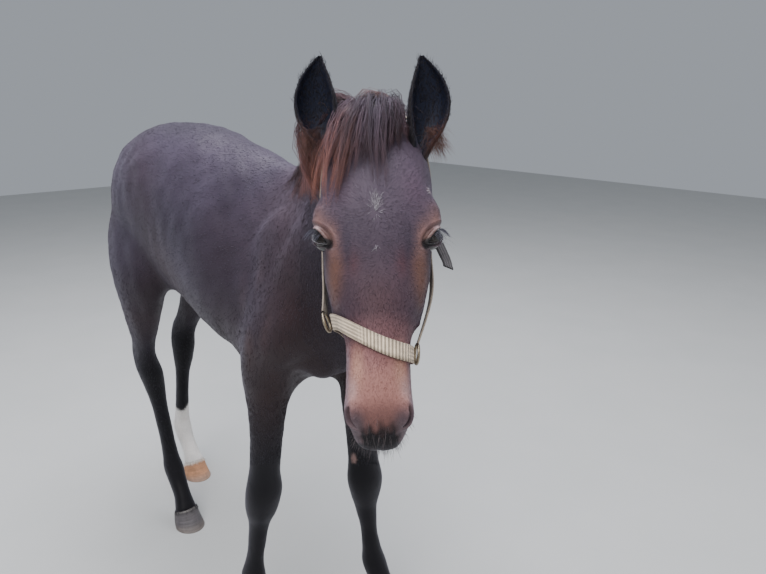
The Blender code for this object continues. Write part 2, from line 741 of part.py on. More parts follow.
def ball(name, centre, radii, axes, rings=8, segments=14):
    """An ellipsoid on three axes."""
    frame = Matrix(axes).transposed().to_4x4()
    frame.translation = centre
    bm = bmesh.new()
    bmesh.ops.create_uvsphere(bm, u_segments=segments, v_segments=rings, radius=1)
    bm.transform(frame @ Matrix.Diagonal((*radii, 1)))
    outward(bm)
    return object_of(name, bm)


def eye_axes(head, look, side):
    """The long and short directions of the opening between the lids."""
    turn = head.to_3x3()
    long = turn @ mirrored(EYE_SLANT, side)
    long = (long - look * long.dot(look)).normalized()
    short = look.cross(long)
    return long, short if short.dot(turn @ Vector((0, 0, 1))) > 0 else -short


def lid_opening(centre, long, short, look):
    """A prism through the opening between the lids, pointed at its corners and fuller above."""
    rings = []
    for depth in (0.4, 2.0):
        points = []
        for k in range(14):
            turn = 2 * math.pi * k / 14
            rise = LID_HEIGHT if turn < math.pi else LOWER_LID * LID_HEIGHT
            across = long * (LID_LENGTH * math.cos(turn))
            up = short * (rise * signed_power(math.sin(turn), LID_POINT))
            points.append(centre + look * (EYE_RADIUS * depth) + across + up)
        rings.append(points)
    return skinned("lid opening", rings)


def mouth_groove(tree, head):
    """A round bar along the line between the lips, to be cut out."""
    inner = head @ Vector(MOUTH_PLACE)
    points = []
    steps = 12
    for i in range(steps + 1):
        turn = MOUTH_SWEEP * (2 * i / steps - 1)
        aim = head.to_3x3() @ Vector((math.cos(turn), math.sin(turn), MOUTH_RISE * math.cos(turn)))
        spot = tree.ray_cast(inner, aim)[0]
        points.append(spot)
    return tube("mouth line", points, [MOUTH_DEPTH] * len(points), 5, False)


def nostril(tree, head, side):
    turn = head.to_3x3()
    aim = (turn @ mirrored(NOSTRIL_AIM, side)).normalized()
    inner = head @ mirrored(NOSTRIL_PLACE, side)
    spot = tree.ray_cast(inner, aim)[0]
    long = turn @ mirrored(NOSTRIL_SLANT, side)
    long = (long - aim * long.dot(aim)).normalized()
    return ball("nostril", spot, NOSTRIL_RADII, (long, aim.cross(long), aim), 8, 10)


def ear(head, side):
    """A cup with a closed base, open to the front, whose tip turns inward."""
    turn = head.to_3x3()
    base = head @ (mirrored(EAR_PLACE, side) + Vector((0, EAR_OFFSET, 0)))
    up = (turn @ (mirrored(EAR_UP, side) + Vector((0, EAR_LEAN, 0)))).normalized()
    front = turn @ mirrored(EAR_FRONT, side)
    front = (front - up * front.dot(up)).normalized()
    out = up.cross(front) * side
    if out.dot(turn @ Vector((0, side, 0))) < 0:
        out.negate()
    rings = []
    half = 6
    for height, width, sway, opening, thickness in EAR:
        half_width = width * EAR_WIDTH / 2
        depth = half_width * EAR_DEPTH
        middle = base + up * (height * EAR_LENGTH) + out * (sway * EAR_WIDTH)
        outer, inner = [], []
        for k in range(half + 1):
            a = math.radians(opening + (360 - 2 * opening) * k / half)
            outer.append(middle + out * (half_width * math.sin(a)) + front * (depth * math.cos(a)))
            thin = max(1 - thickness / half_width, 0.02)
            inner.append(
                middle
                + out * (half_width * thin * math.sin(a))
                + front * (depth * (thin * math.cos(a) + 0.05 * (1 - thin)))
            )
        rings.append(outer + inner[::-1])
    return skinned("ear", rings)


def strap(name, points, normals, width):
    """A flat band along points, its inner face on them and its thickness along their normals."""
    rings = []
    for i, point in enumerate(points):
        after, before = points[min(i + 1, len(points) - 1)], points[max(i - 1, 0)]
        across = (after - before).cross(normals[i]).normalized() * (width / 2)
        out = normals[i] * STRAP_THICKNESS
        rings.append([point - across, point + across, point + across + out, point - across + out])
    return skinned(name, rings)


def looped(name, rings):
    """A closed mesh object through rings of equally many points, the last joined to the first."""
    bm = bmesh.new()
    loops = [[bm.verts.new(p) for p in points] for points in rings]
    for first, second in zip(loops, loops[1:] + loops[:1]):
        for i in range(len(first)):
            j = (i + 1) % len(first)
            bm.faces.new((first[i], first[j], second[j], second[i]))
    outward(bm)
    return object_of(name, bm)


def noseband(tree, head):
    """A band round the nose and jaw, each of its edges laid on the highest of the face near it."""
    turn = head.to_3x3()
    rings = []
    count = 30
    step = 2 * math.pi / count
    for i in range(count):
        angle = i * step
        aim = (turn @ Vector((0, math.sin(angle), math.cos(angle)))).normalized()
        edges = []
        for edge in (-0.5, 0.5):
            reach = 0
            for nudge in (-0.5, -0.25, 0, 0.25, 0.5):
                for inward in (1.0, 0.5):
                    near = angle + nudge * step
                    across = (turn @ Vector((0, math.sin(near), math.cos(near)))).normalized()
                    place = band_place(angle) + edge * inward * STRAP_WIDTH
                    centre = head @ Vector((place, 0, BAND_AXIS))
                    spot = tree.ray_cast(centre + across * 0.3, -across)[0]
                    reach = max(reach, (spot - centre).length)
            centre = head @ Vector((band_place(angle) + edge * STRAP_WIDTH, 0, BAND_AXIS))
            edges.append(centre + aim * (reach + BAND_CLEARANCE))
        out = aim * STRAP_THICKNESS
        rings.append([edges[0], edges[1], edges[1] + out, edges[0] + out])
    return looped("noseband", rings)


def lock(path, width, thickness):
    """A lock along a path of points and normals: flat below, ridged above, narrowing to a pointed tip."""
    bm = bmesh.new()
    last = len(path) - 1
    loops = []
    for i, (point, normal) in enumerate(path[:-1]):
        t = i / last
        along = path[i + 1][0] - path[max(i - 1, 0)][0]
        side = along.cross(normal).normalized() * (width / 2 * float(np.interp(t, *LOCK_OUTLINE)))
        up = side.cross(along).normalized() * (thickness * (1 - 0.5 * t))
        loops.append([bm.verts.new(point + offset) for offset in (side, up, -side)])
    tip = bm.verts.new(path[-1][0])
    for first, second in zip(loops, loops[1:]):
        for k in range(3):
            bm.faces.new((first[k], first[k - 2], second[k - 2], second[k]))
    for k in range(3):
        bm.faces.new((loops[-1][k], loops[-1][k - 2], tip))
    bm.faces.new(loops[0])
    outward(bm)
    return object_of("lock", bm)


def lifted(t, top, tip):
    """Height above the skin along a lock: sunk at the root, highest before the middle, lower at the tip."""
    return float(np.interp(t, (0, 0.20, 0.40, 1), (-ROOT_SINK, top, top, tip)))


def behind(point, plane, margin):
    """The point, moved back where it comes within a margin of a cut's plane."""
    spot, normal = plane
    over = (point - spot).dot(normal) + margin
    return point - normal * max(over, 0)


def crest_line(along):
    """The top of the neck at a distance along the straight trunk, before it bends."""
    rows = between([(row[1], row[2]) for row in TRUNK if row[1] > 0.05], 6)
    return bend(Vector((along, 0, float(np.interp(along, rows[:, 0], rows[:, 1])))))


def crest_roots(tree):
    """The low ridge along the crest that the mane's locks grow from."""
    rings = []
    count = 14
    for i in range(count):
        share = i / (count - 1)
        along = MANE_START + (MANE_END - MANE_START) * (0.02 + 0.93 * share)
        point, normal, _, _ = tree.find_nearest(crest_line(along))
        ahead = crest_line(along + 0.01) - crest_line(along - 0.01)
        right = ahead.cross(normal).normalized() * CREST_WIDTH / 2
        top = normal * MANE_LIFT * (0.7 + 0.5 * share) * min(1, 0.3 + 4 * share, 0.3 + 4 * (1 - share))
        rings.append(
            [point - right, point - right * 0.5 + top, point + right + top, point - normal * ROOT_SINK]
        )
    return skinned("crest", rings)


def mane_locks(tree, planes):
    """Locks in two layers, one from each side of the crest, down the right side of the neck."""
    dice = random.Random(MANE_SEED)
    locks = [crest_roots(tree)]
    for i in range(MANE_LOCKS):
        share = i / (MANE_LOCKS - 1)
        upper = i % 2
        along = MANE_START + (MANE_END - MANE_START) * share
        ahead = (bend(Vector((along + 0.01, 0, 1))) - bend(Vector((along, 0, 1)))).normalized()
        heading = ahead.cross(Vector((0, 0, 1))) - ahead * dice.uniform(0.10, 0.30)
        spot = crest_line(along) - ahead.cross(Vector((0, 0, 1))) * (0.006 * upper - 0.004)
        point, normal, _, _ = tree.find_nearest(spot)
        length = MANE_LENGTH * dice.uniform(0.75, 1.0) * (0.62 + 0.38 * share) + 0.02 * upper
        top = (MANE_LIFT + 0.007 * upper) * (0.7 + 0.5 * share)
        path = []
        for k in range(LOCK_POINTS):
            t = k / (LOCK_POINTS - 1)
            place = point + normal * lifted(t, top, 0.9 * top)
            for plane in planes:
                place = behind(place, plane, LOCK_WIDTH * 0.6)
            path.append((place, normal.copy()))
            heading = heading + Vector((0, 0, -LOCK_PULL)) + ahead * dice.uniform(-0.12, 0.08)
            heading = (heading - normal * heading.dot(normal)).normalized()
            point, normal, _, _ = tree.find_nearest(point + heading * length / (LOCK_POINTS - 1))
        locks.append(lock(path, LOCK_WIDTH * dice.uniform(0.85, 1.0), LOCK_THICKNESS))
    return locks


def forelock_locks(tree, head):
    """Three rows of locks that rise from between the ears and fall over the forehead, most to the right."""
    dice = random.Random(FORELOCK_SEED)
    falls = np.array(FORELOCK_FALLS)
    locks = []
    for i in range(FORELOCK_LOCKS):
        row = i % 3
        place = -1 + 2 * i / (FORELOCK_LOCKS - 1)
        root = Vector((0.032 - 0.015 * row, 0.030 * place, 0))
        down, side = (float(np.interp(place, falls[:, 0], falls[:, k])) for k in (1, 2))
        tip = Vector((down * (0.80 + 0.10 * row), side + dice.uniform(-0.004, 0.004), 0))
        top = (FORELOCK_LIFT + FORELOCK_STEP * row) * (1 - 0.45 * place * place)
        path = []
        for k in range(LOCK_POINTS):
            t = k / (LOCK_POINTS - 1)
            flat = root.lerp(tip, t)
            guess = head @ Vector((flat.x, flat.y, 0.035 - 5 * flat.y * flat.y))
            point, normal, _, _ = tree.find_nearest(guess)
            path.append((point + normal * lifted(t, top, 0.004 + 0.15 * top), normal))
        locks.append(lock(path, LOCK_WIDTH * dice.uniform(0.75, 0.95), LOCK_THICKNESS))
    return locks


def tail_spot(height, turn, reach):
    """A point of the tail's outline, at a height and a turn round it, and its outward normal."""
    rows = np.array(TAIL)[::-1]
    x, half_width, half_depth = (float(np.interp(height, rows[:, 1], rows[:, k])) for k in (0, 2, 3))
    out = Vector((-math.sin(turn) * half_depth, math.cos(turn) * half_width, 0))
    return Vector((x, 0, height)) + out * reach, out.normalized()


def dock():
    """The fleshy root of the tail, which ends well above the tips of the hair."""
    rings = []
    rows = between([(x, z, w * DOCK_WIDTH, d * DOCK_DEPTH) for x, z, w, d in TAIL[:5]], 2)
    for i, (x, z, half_width, half_depth) in enumerate(rows):
        after, before = rows[min(i + 1, len(rows) - 1)], rows[max(i - 1, 0)]
        along = Vector((after[0] - before[0], 0, after[1] - before[1])).normalized()
        back = along.cross(Vector((0, 1, 0)))
        slim = 1 if i + 1 < len(rows) else 0.4
        turns = [2 * math.pi * k / 12 for k in range(12)]
        rings.append(
            [
                Vector((x, half_width * slim * math.cos(t), z)) + back * (half_depth * slim * math.sin(t))
                for t in turns
            ]
        )
    return skinned("tail", rings)


def tail_locks():
    """Three layers of locks round the dock, the outer ones rooted highest."""
    dice = random.Random(TAIL_SEED)
    locks = []
    for layer, (count, reach, start) in enumerate(TAIL_LAYERS):
        for i in range(count):
            turn = math.pi * (2 * i + 0.5 * layer) / count
            end = TAIL[-1][1] + dice.uniform(0, 0.14)
            sway = dice.uniform(-0.10, 0.10)
            path = []
            for k in range(LOCK_POINTS):
                t = k / (LOCK_POINTS - 1)
                height = start + (end - start) * t
                spread = float(np.interp(t, (0, 0.25, 1), (0.35, reach, reach)))
                path.append(tail_spot(height, turn + sway * t, spread))
            locks.append(lock(path, LOCK_WIDTH * dice.uniform(1.10, 1.25), LOCK_THICKNESS * 1.3))
    return locks


def finished(obj, name, colour, roughness, metallic=0.0):
    """Names a piece and gives it a material of its own."""
    triangulated(obj)
    obj.name = name
    obj.data.name = name
    material = bpy.data.materials.new(name)
    material.use_nodes = True
    shader = material.node_tree.nodes["Principled BSDF"]
    shader.inputs["Base Color"].default_value = (*colour, 1)
    shader.inputs["Roughness"].default_value = roughness
    shader.inputs["Metallic"].default_value = metallic
    obj.data.materials.clear()
    obj.data.materials.append(material)
    obj.data.shade_smooth()
    obj.data.set_sharp_from_angle(angle=SHARP_ANGLE)
    return obj


def band_place(angle):
    """How far along the face the noseband lies, at an angle round it from the top of the nose."""
    across, out = math.sin(angle), math.cos(angle)
    return NOSEBAND_PLACE + NOSEBAND_SLANT * across + NOSEBAND_TILT * out - NOSEBAND_DROP * across * across


def halter(tree, head):
    """A webbing noseband, a headstall from ring to ring over the poll, and the two rings."""
    made = {}
    turn = head.to_3x3()
    made["halter_noseband"] = noseband(tree, head)
    halves = []
    for side, name in ((1, "left"), (-1, "right")):
        place = head @ Vector((band_place(side * math.pi / 2) - 0.004, side, RING_HEIGHT))
        aim = (turn @ Vector((0, -side, 0))).normalized()
        spot, normal, _, _ = tree.ray_cast(place, aim)
        long = turn @ Vector((1, 0, 0))
        long = (long - normal * long.dot(normal)).normalized()
        other = normal.cross(long)
        centre = spot + normal * RING_LIFT
        turns = [2 * math.pi * k / 12 for k in range(12)]
        loop = [centre + (long * math.cos(t) + other * math.sin(t)) * RING_RADIUS for t in turns]
        made["halter_ring_" + name] = tube("ring", loop, [RING_BAR] * len(loop), 5, True)
        begin = centre - long * (RING_RADIUS + RING_BAR + GAP + 0.002) - normal * STRAP_THICKNESS / 2
        half = [(begin, normal)]
        for along, across, out in between(CHEEK_ROUTE, 3):
            near, face, _, _ = tree.find_nearest(head @ Vector((along, side * across, out)))
            if (near - begin).dot(long) < -0.012:
                half.append((near + face * HEADSTALL_CLEARANCE, face))
        halves.append(half)
    route = halves[0] + halves[1][-2::-1]
    made["halter_headstall"] = draped("headstall", tree, route, HEADSTALL_WIDTH)
    return made


def draped(name, tree, route, width):
    """A strap along a route over a surface, smoothed and lifted clear of it."""
    points = [item[0] for item in route]
    normals = [item[1] for item in route]
    for _ in range(4):
        for i in range(1, len(points) - 1):
            points[i] = (points[i - 1] + points[i] * 2 + points[i + 1]) / 4
            normals[i] = (normals[i - 1] + normals[i] * 2 + normals[i + 1]).normalized()
    for i in range(1, len(points) - 1):
        along = (points[i + 1] - points[i - 1]).normalized()
        across = along.cross(normals[i]).normalized() * (width / 2)
        lift = 0
        for edge in (-1, 0, 1):
            spot = tree.ray_cast(points[i] + across * edge + normals[i] * 0.05, -normals[i])[0]
            if spot:
                lift = max(lift, (spot - points[i]).dot(normals[i]) + HEADSTALL_CLEARANCE)
        points[i] = points[i] + normals[i] * lift
    return strap(name, points, normals, width)


def centred(pieces):
    """Sets the whole so that the middle of its box is over the origin."""
    points = np.array([v.co for obj in pieces for v in obj.data.vertices])
    middle = (points.min(axis=0) + points.max(axis=0)) / 2
    for obj in pieces:
        obj.data.transform(Matrix.Translation((-middle[0], -middle[1], 0)))


def main():
    for obj in list(bpy.data.objects):
        bpy.data.objects.remove(obj)
    pieces = parted_body()
    head = head_frame()
    skull = surface(pieces["head"])
    made = halter(skull, head)
    cuts, folds = [], []
    for side, name in ((1, "left"), (-1, "right")):
        centre, look = eye_seat(skull, head, side)
        axes = (*eye_axes(head, look, side), look)
        size = EYE_RADIUS + LID_THICKNESS
        folds.append(ball("lids", centre, (size, size, size), axes, 10, 16))
        size = EYE_RADIUS + GAP
        cuts.append(ball("socket", centre, (size, size, size), axes, 8, 12))
        cuts.append(lid_opening(centre, *axes))
        size = EYE_RADIUS * SOCKET_FIT
        made["eye_" + name] = ball("eye", centre, (size, size, size), axes, 8, 12)
        cuts.append(nostril(skull, head, side))
    cuts.append(mouth_groove(skull, head))
    boolean(pieces["head"], folds, "UNION")
    boolean(pieces["head"], cuts, "DIFFERENCE")
    boolean(pieces["head"], forelock_locks(skull, head), "UNION", HAIR_SOLVER)
    largest(pieces["head"])
    boolean(pieces["neck"], mane_locks(surface(pieces["neck"]), neck_planes(head)), "UNION", HAIR_SOLVER)
    largest(pieces["neck"])
    for side, name in ((1, "left"), (-1, "right")):
        cup = ear(head, side)
        boolean(cup, [swollen(pieces["head"], GAP)], "DIFFERENCE")
        made["ear_" + name] = largest(cup)
    tail = dock()
    boolean(tail, [swollen(pieces["torso"], GAP)], "DIFFERENCE")
    boolean(tail, tail_locks(), "UNION", HAIR_SOLVER)
    made["tail"] = largest(tail)
    for name, rows, fetlock, stride, side in legs():
        made["hoof_" + name] = hoof(name, rows, fetlock, stride, side)
    made.update(pieces)
    for name, obj in made.items():
        look = next(look for start, look in LOOKS if name.startswith(start))
        finished(obj, name, *look)
    centred(list(made.values()))


main()
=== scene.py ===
"""The weanling foal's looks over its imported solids: skin, coat, long hair, eyes, ears, hooves and halter."""

import math

import bmesh
import bpy
import numpy as np
from mathutils import Matrix, Vector
from mathutils.bvhtree import BVHTree


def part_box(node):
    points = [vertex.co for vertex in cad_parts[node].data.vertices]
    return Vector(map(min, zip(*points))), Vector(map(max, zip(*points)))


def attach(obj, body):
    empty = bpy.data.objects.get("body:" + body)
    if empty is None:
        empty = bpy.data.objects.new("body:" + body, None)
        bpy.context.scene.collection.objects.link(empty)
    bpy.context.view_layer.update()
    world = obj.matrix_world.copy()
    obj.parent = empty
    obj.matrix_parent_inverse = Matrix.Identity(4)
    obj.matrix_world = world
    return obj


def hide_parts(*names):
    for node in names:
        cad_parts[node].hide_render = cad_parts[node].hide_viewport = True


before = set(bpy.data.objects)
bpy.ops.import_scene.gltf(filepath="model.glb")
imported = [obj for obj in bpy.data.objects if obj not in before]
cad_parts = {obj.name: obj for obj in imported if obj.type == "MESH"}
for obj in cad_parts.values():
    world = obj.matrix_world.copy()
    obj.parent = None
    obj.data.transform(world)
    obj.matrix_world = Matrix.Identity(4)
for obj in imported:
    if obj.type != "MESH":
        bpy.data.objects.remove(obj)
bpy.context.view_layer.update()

# The solids' own dimensions, in metres: ears, eyes and the opening of the lids.
EAR_LENGTH = 0.128
EAR_WIDTH = 0.063
EYE_RADIUS = 0.0200
EYE_PROUD = 0.0065
LID_LENGTH = 0.0172
LID_HEIGHT = 0.0092
LOWER_LID = 0.55

# The bend of the neck along the trunk, and the place, turn and slope of the head.
BEND_START = 0.08
BEND_END = 0.50
NECK_TURN = math.radians(42)
HEAD_TURN = math.radians(39)
FACE_SLOPE = math.radians(33)
POLL_ALONG = 0.600
POLL_HEIGHT = 1.362
HEAD_SHIFT = Vector((0.024, 0.028, -0.003))

# How far ahead of a square stance each foot stands, and the heights between which a leg leans.
STRIDE = {"front_left": 0.060, "front_right": -0.095, "hind_left": -0.100, "hind_right": 0.165}
FRONT_FETLOCK = 0.10
HIND_FETLOCK = -0.80
HIP_HEIGHT = 1.05
SHOULDER_HEIGHT = 0.95
FETLOCK_HEIGHT = 0.172
HEEL_BLUNT = 0.86
TOE_REACH = 0.076

# The body's remesh, and how much of its smoothing the head and the lower legs take.
VOXEL = 0.007
SMOOTHING = 36
HEAD_SOFTNESS = 0.25
LEG_SOFTNESS = 0.12
SOFT_LEG_TOP = 0.80
SOFT_LEG_FADE = 0.25

# The halter: straps, the noseband's place down the face and its slants, and the rings.
STRAP_WIDTH = 0.024
STRAP_THICKNESS = 0.0025
HEADSTALL_SHARE = 0.8
NOSEBAND_PLACE = 0.342
NOSEBAND_SLANT = 0.025
NOSEBAND_TILT = 0.008
NOSEBAND_DROP = 0.010
BAND_AXIS = -0.055
BAND_CLEARANCE = 0.0012
HEADSTALL_CLEARANCE = 0.0040
RING_RADIUS = 0.014
RING_BAR = 0.0022
RING_LIFT = 0.0105

# Only the head has points further ahead than this in the tables' frame, and surely so than the second.
HEAD_AHEAD = 0.33
HEAD_WELL_AHEAD = 0.35

# A full turn, for random phases and places on maps.
FULL_TURN = 6.283

# Stations of the trunk and the head, in a side view: a point of the upper and of the lower outline,
# half width, level of the widest place, and how full the section is above and below it.
TRUNK = [
    (-0.868, 1.090, -0.860, 0.990, 0.060, 0.50, 1.00, 1.00),
    (-0.835, 1.178, -0.830, 0.900, 0.105, 0.55, 1.00, 1.00),
    (-0.760, 1.248, -0.765, 0.840, 0.142, 0.58, 1.00, 0.95),
    (-0.670, 1.292, -0.680, 0.812, 0.162, 0.60, 1.00, 0.90),
    (-0.570, 1.306, -0.580, 0.800, 0.170, 0.62, 0.95, 0.90),
    (-0.470, 1.308, -0.480, 0.797, 0.172, 0.62, 0.95, 0.90),
    (-0.350, 1.303, -0.350, 0.780, 0.168, 0.52, 0.95, 0.90),
    (-0.220, 1.279, -0.220, 0.752, 0.178, 0.45, 1.00, 0.92),
    (-0.100, 1.258, -0.090, 0.735, 0.176, 0.42, 1.10, 0.95),
    (0.000, 1.242, 0.020, 0.728, 0.158, 0.42, 1.35, 0.95),
    (0.080, 1.236, 0.130, 0.738, 0.146, 0.45, 1.40, 0.95),
    (0.150, 1.238, 0.222, 0.772, 0.138, 0.48, 1.40, 1.00),
    (0.215, 1.250, 0.304, 0.855, 0.118, 0.50, 1.35, 1.00),
    (0.285, 1.274, 0.355, 0.975, 0.092, 0.50, 1.25, 1.00),
    (0.365, 1.308, 0.385, 1.050, 0.076, 0.50, 1.15, 1.00),
    (0.450, 1.345, 0.410, 1.120, 0.067, 0.50, 1.10, 1.00),
    (0.530, 1.368, 0.440, 1.185, 0.062, 0.52, 1.00, 1.00),
    (0.590, 1.370, 0.480, 1.225, 0.056, 0.55, 1.00, 1.00),
]
HEAD = [
    (-0.045, -0.040, -0.010, -0.120, 0.048, 0.55, 1.00, 1.00),
    (0.000, 0.000, 0.015, -0.150, 0.060, 0.62, 1.00, 1.00),
    (0.045, 0.016, 0.055, -0.188, 0.076, 0.70, 0.95, 1.00),
    (0.100, 0.028, 0.100, -0.210, 0.084, 0.76, 0.85, 1.00),
    (0.150, 0.031, 0.145, -0.212, 0.084, 0.80, 0.75, 1.00),
    (0.195, 0.026, 0.185, -0.200, 0.079, 0.78, 0.72, 0.95),
    (0.240, 0.016, 0.230, -0.172, 0.078, 0.68, 0.72, 0.90),
    (0.285, 0.008, 0.280, -0.142, 0.067, 0.62, 0.75, 0.90),
    (0.330, 0.001, 0.330, -0.118, 0.048, 0.60, 0.78, 0.92),
    (0.380, -0.003, 0.375, -0.104, 0.046, 0.58, 0.80, 0.90),
    (0.425, -0.010, 0.420, -0.102, 0.047, 0.55, 0.85, 0.90),
    (0.457, -0.026, 0.449, -0.106, 0.042, 0.52, 0.85, 0.85),
    (0.479, -0.050, 0.470, -0.100, 0.028, 0.50, 0.90, 0.90),
    (0.489, -0.070, 0.482, -0.086, 0.011, 0.50, 1.00, 1.00),
]

# Stations of the legs in a square stance, measured from the fetlock: a point of the front and of the
# rear outline, distance from the midline and half width.
FORELEG = [
    (0.085, 1.120, -0.075, 1.100, 0.080, 0.040),
    (0.175, 0.985, -0.060, 0.960, 0.104, 0.050),
    (0.165, 0.885, -0.070, 0.850, 0.120, 0.058),
    (0.108, 0.800, -0.062, 0.775, 0.122, 0.056),
    (0.080, 0.730, -0.050, 0.725, 0.120, 0.053),
    (0.060, 0.650, -0.039, 0.650, 0.117, 0.047),
    (0.044, 0.560, -0.030, 0.560, 0.117, 0.040),
    (0.042, 0.490, -0.031, 0.490, 0.118, 0.040),
    (0.051, 0.430, -0.037, 0.430, 0.120, 0.0480),
    (0.040, 0.376, -0.037, 0.376, 0.122, 0.040),
    (0.026, 0.335, -0.033, 0.335, 0.125, 0.028),
    (0.022, 0.270, -0.030, 0.270, 0.131, 0.0230),
    (0.024, 0.210, -0.033, 0.208, 0.137, 0.0250),
    (0.034, 0.172, -0.040, 0.162, 0.141, 0.0320),
    (0.052, 0.135, -0.012, 0.112, 0.143, 0.0285),
    (0.079, 0.102, 0.018, 0.076, 0.145, 0.0285),
    (0.105, 0.064, 0.038, 0.036, 0.147, 0.036),
    (0.118, 0.040, 0.050, 0.012, 0.148, 0.036),
]
HINDLEG = [
    (0.300, 1.110, -0.045, 1.050, 0.078, 0.060),
    (0.300, 1.000, -0.062, 0.980, 0.098, 0.070),
    (0.285, 0.900, -0.056, 0.900, 0.114, 0.070),
    (0.262, 0.832, -0.034, 0.832, 0.124, 0.064),
    (0.190, 0.745, -0.012, 0.768, 0.122, 0.055),
    (0.116, 0.665, -0.018, 0.692, 0.116, 0.044),
    (0.056, 0.592, -0.044, 0.626, 0.108, 0.034),
    (0.042, 0.545, -0.080, 0.578, 0.102, 0.033),
    (0.042, 0.500, -0.074, 0.524, 0.097, 0.038),
    (0.034, 0.455, -0.048, 0.464, 0.092, 0.034),
    (0.026, 0.400, -0.037, 0.402, 0.087, 0.0265),
    (0.024, 0.320, -0.033, 0.320, 0.082, 0.0235),
    (0.026, 0.222, -0.034, 0.218, 0.078, 0.0260),
    (0.035, 0.180, -0.040, 0.170, 0.076, 0.0325),
    (0.053, 0.140, -0.010, 0.115, 0.076, 0.0285),
    (0.080, 0.102, 0.020, 0.076, 0.077, 0.0280),
    (0.105, 0.064, 0.040, 0.036, 0.078, 0.035),
    (0.118, 0.040, 0.052, 0.012, 0.079, 0.035),
]

# The station at the coronet, where the hoof begins.
CORONET = 16

# Centre, radii and tilt in degrees of the muscle and bone masses, in the body's and in the head's frame.
BODY_MASSES = [
    ((0.110, 0.094, 1.000), (0.105, 0.038, 0.170), 30),
    ((0.215, 0.092, 0.905), (0.052, 0.040, 0.066), 0),
    ((0.020, 0.120, 0.865), (0.110, 0.038, 0.095), -25),
    ((0.215, 0.052, 0.830), (0.055, 0.050, 0.062), 15),
    ((0.080, 0.072, 0.752), (0.060, 0.046, 0.055), 0),
    ((-0.610, 0.088, 1.185), (0.155, 0.060, 0.080), -8),
    ((-0.480, 0.128, 1.190), (0.050, 0.036, 0.050), 0),
    ((-0.575, 0.136, 0.910), (0.062, 0.040, 0.100), 20),
    ((-0.795, 0.078, 1.010), (0.056, 0.048, 0.130), -8),
]
HEAD_MASSES = [
    ((0.168, 0.071, -0.012), (0.038, 0.024, 0.028), 0),
    ((0.120, 0.050, -0.125), (0.088, 0.022, 0.078), -14),
    ((0.262, 0.060, -0.052), (0.062, 0.011, 0.012), 4),
    ((0.434, 0.036, -0.038), (0.030, 0.014, 0.026), -20),
    ((0.463, 0.012, -0.062), (0.027, 0.026, 0.027), 0),
    ((0.447, 0.009, -0.102), (0.025, 0.016, 0.015), 0),
]

# In the head's frame: the loose strap end, and the headstall's route from a ring to behind the ears.
STRAP_END = [
    (0.176, 0.0950, -0.086),
    (0.190, 0.1000, -0.084),
    (0.206, 0.1050, -0.080),
    (0.220, 0.1070, -0.074),
]
CHEEK_ROUTE = [
    (0.290, 0.060, -0.065),
    (0.240, 0.070, -0.078),
    (0.190, 0.090, -0.088),
    (0.130, 0.100, -0.090),
    (0.075, 0.090, -0.070),
    (0.020, 0.078, -0.048),
    (-0.018, 0.058, -0.018),
    (-0.034, 0.032, 0.010),
    (-0.038, 0.000, 0.020),
]

# An ear's stations: height, width and sway as shares, half angle of its mouth, and thickness.
EAR = [
    (-0.24, 0.44, -0.04, 30, 0.0140),
    (0.00, 0.66, 0.10, 34, 0.0150),
    (0.16, 0.86, 0.20, 48, 0.0060),
    (0.34, 0.99, 0.28, 62, 0.0045),
    (0.54, 0.98, 0.30, 70, 0.0042),
    (0.74, 0.74, 0.27, 77, 0.0038),
    (0.88, 0.42, 0.20, 80, 0.0034),
    (1.00, 0.08, 0.10, 82, 0.0015),
]

# The tail's stations: place, height, half width and half depth.
TAIL = [
    (-0.800, 1.200, 0.030, 0.024),
    (-0.850, 1.178, 0.030, 0.024),
    (-0.893, 1.142, 0.034, 0.027),
    (-0.922, 1.080, 0.042, 0.032),
    (-0.932, 1.000, 0.052, 0.038),
    (-0.937, 0.900, 0.060, 0.042),
    (-0.938, 0.800, 0.060, 0.042),
    (-0.936, 0.720, 0.052, 0.036),
    (-0.932, 0.640, 0.040, 0.028),
]

# Where the forelock ends: place between the ears (-1 right, 1 left), down the face, to the left.
FORELOCK_FALLS = [
    (-1.0, 0.180, -0.078),
    (-0.5, 0.152, -0.056),
    (-0.1, 0.124, -0.022),
    (0.1, 0.150, 0.002),
    (0.35, 0.096, 0.016),
    (0.7, 0.066, 0.032),
    (1.0, 0.048, 0.044),
]

# The middle of the forehead's whorl: down the face and to the left.
WHORL = (0.166, -0.003)

# The light brown that runs from over each eye down the side of the face: place, radii and share.
TAN_TRAIL = [
    ((0.162, 0.083, 0.000), (0.015, 0.014, 0.018), 0.40),
    ((0.180, 0.082, 0.004), (0.014, 0.013, 0.016), 0.75),
    ((0.200, 0.064, 0.010), (0.020, 0.011, 0.014), 0.78),
    ((0.222, 0.060, 0.004), (0.018, 0.011, 0.014), 0.50),
]

# The rust below it, in the same terms.
RUST_TRAIL = [
    ((0.240, 0.058, -0.002), (0.018, 0.014, 0.018), 0.75),
    ((0.260, 0.060, -0.014), (0.022, 0.014, 0.020), 0.80),
    ((0.282, 0.062, -0.024), (0.020, 0.009, 0.016), 0.45),
]

# White marks: place down the face and to the left, hairs, and how far they spread both ways.
STAR_MARKS = [
    (0.158, -0.003, 130, 0.0095, 0.0034),
    (0.222, -0.002, 10, 0.0022, 0.0016),
    (0.130, 0.076, 18, 0.0028, 0.0032),
]

# Rings of the lids' rims: share of the opening, and heights of both lids over the eyeball.
LID_RINGS = [
    (0.90, -0.0005, -0.0005),
    (0.94, 0.0004, 0.0003),
    (0.98, 0.0018, 0.0011),
    (1.02, 0.0031, 0.0019),
    (1.07, 0.0039, 0.0024),
    (1.13, 0.0043, 0.0027),
    (1.20, 0.0045, 0.0028),
    (1.28, 0.0044, 0.0025),
    (1.38, 0.0036, 0.0014),
    (1.50, 0.0020, -0.0004),
]

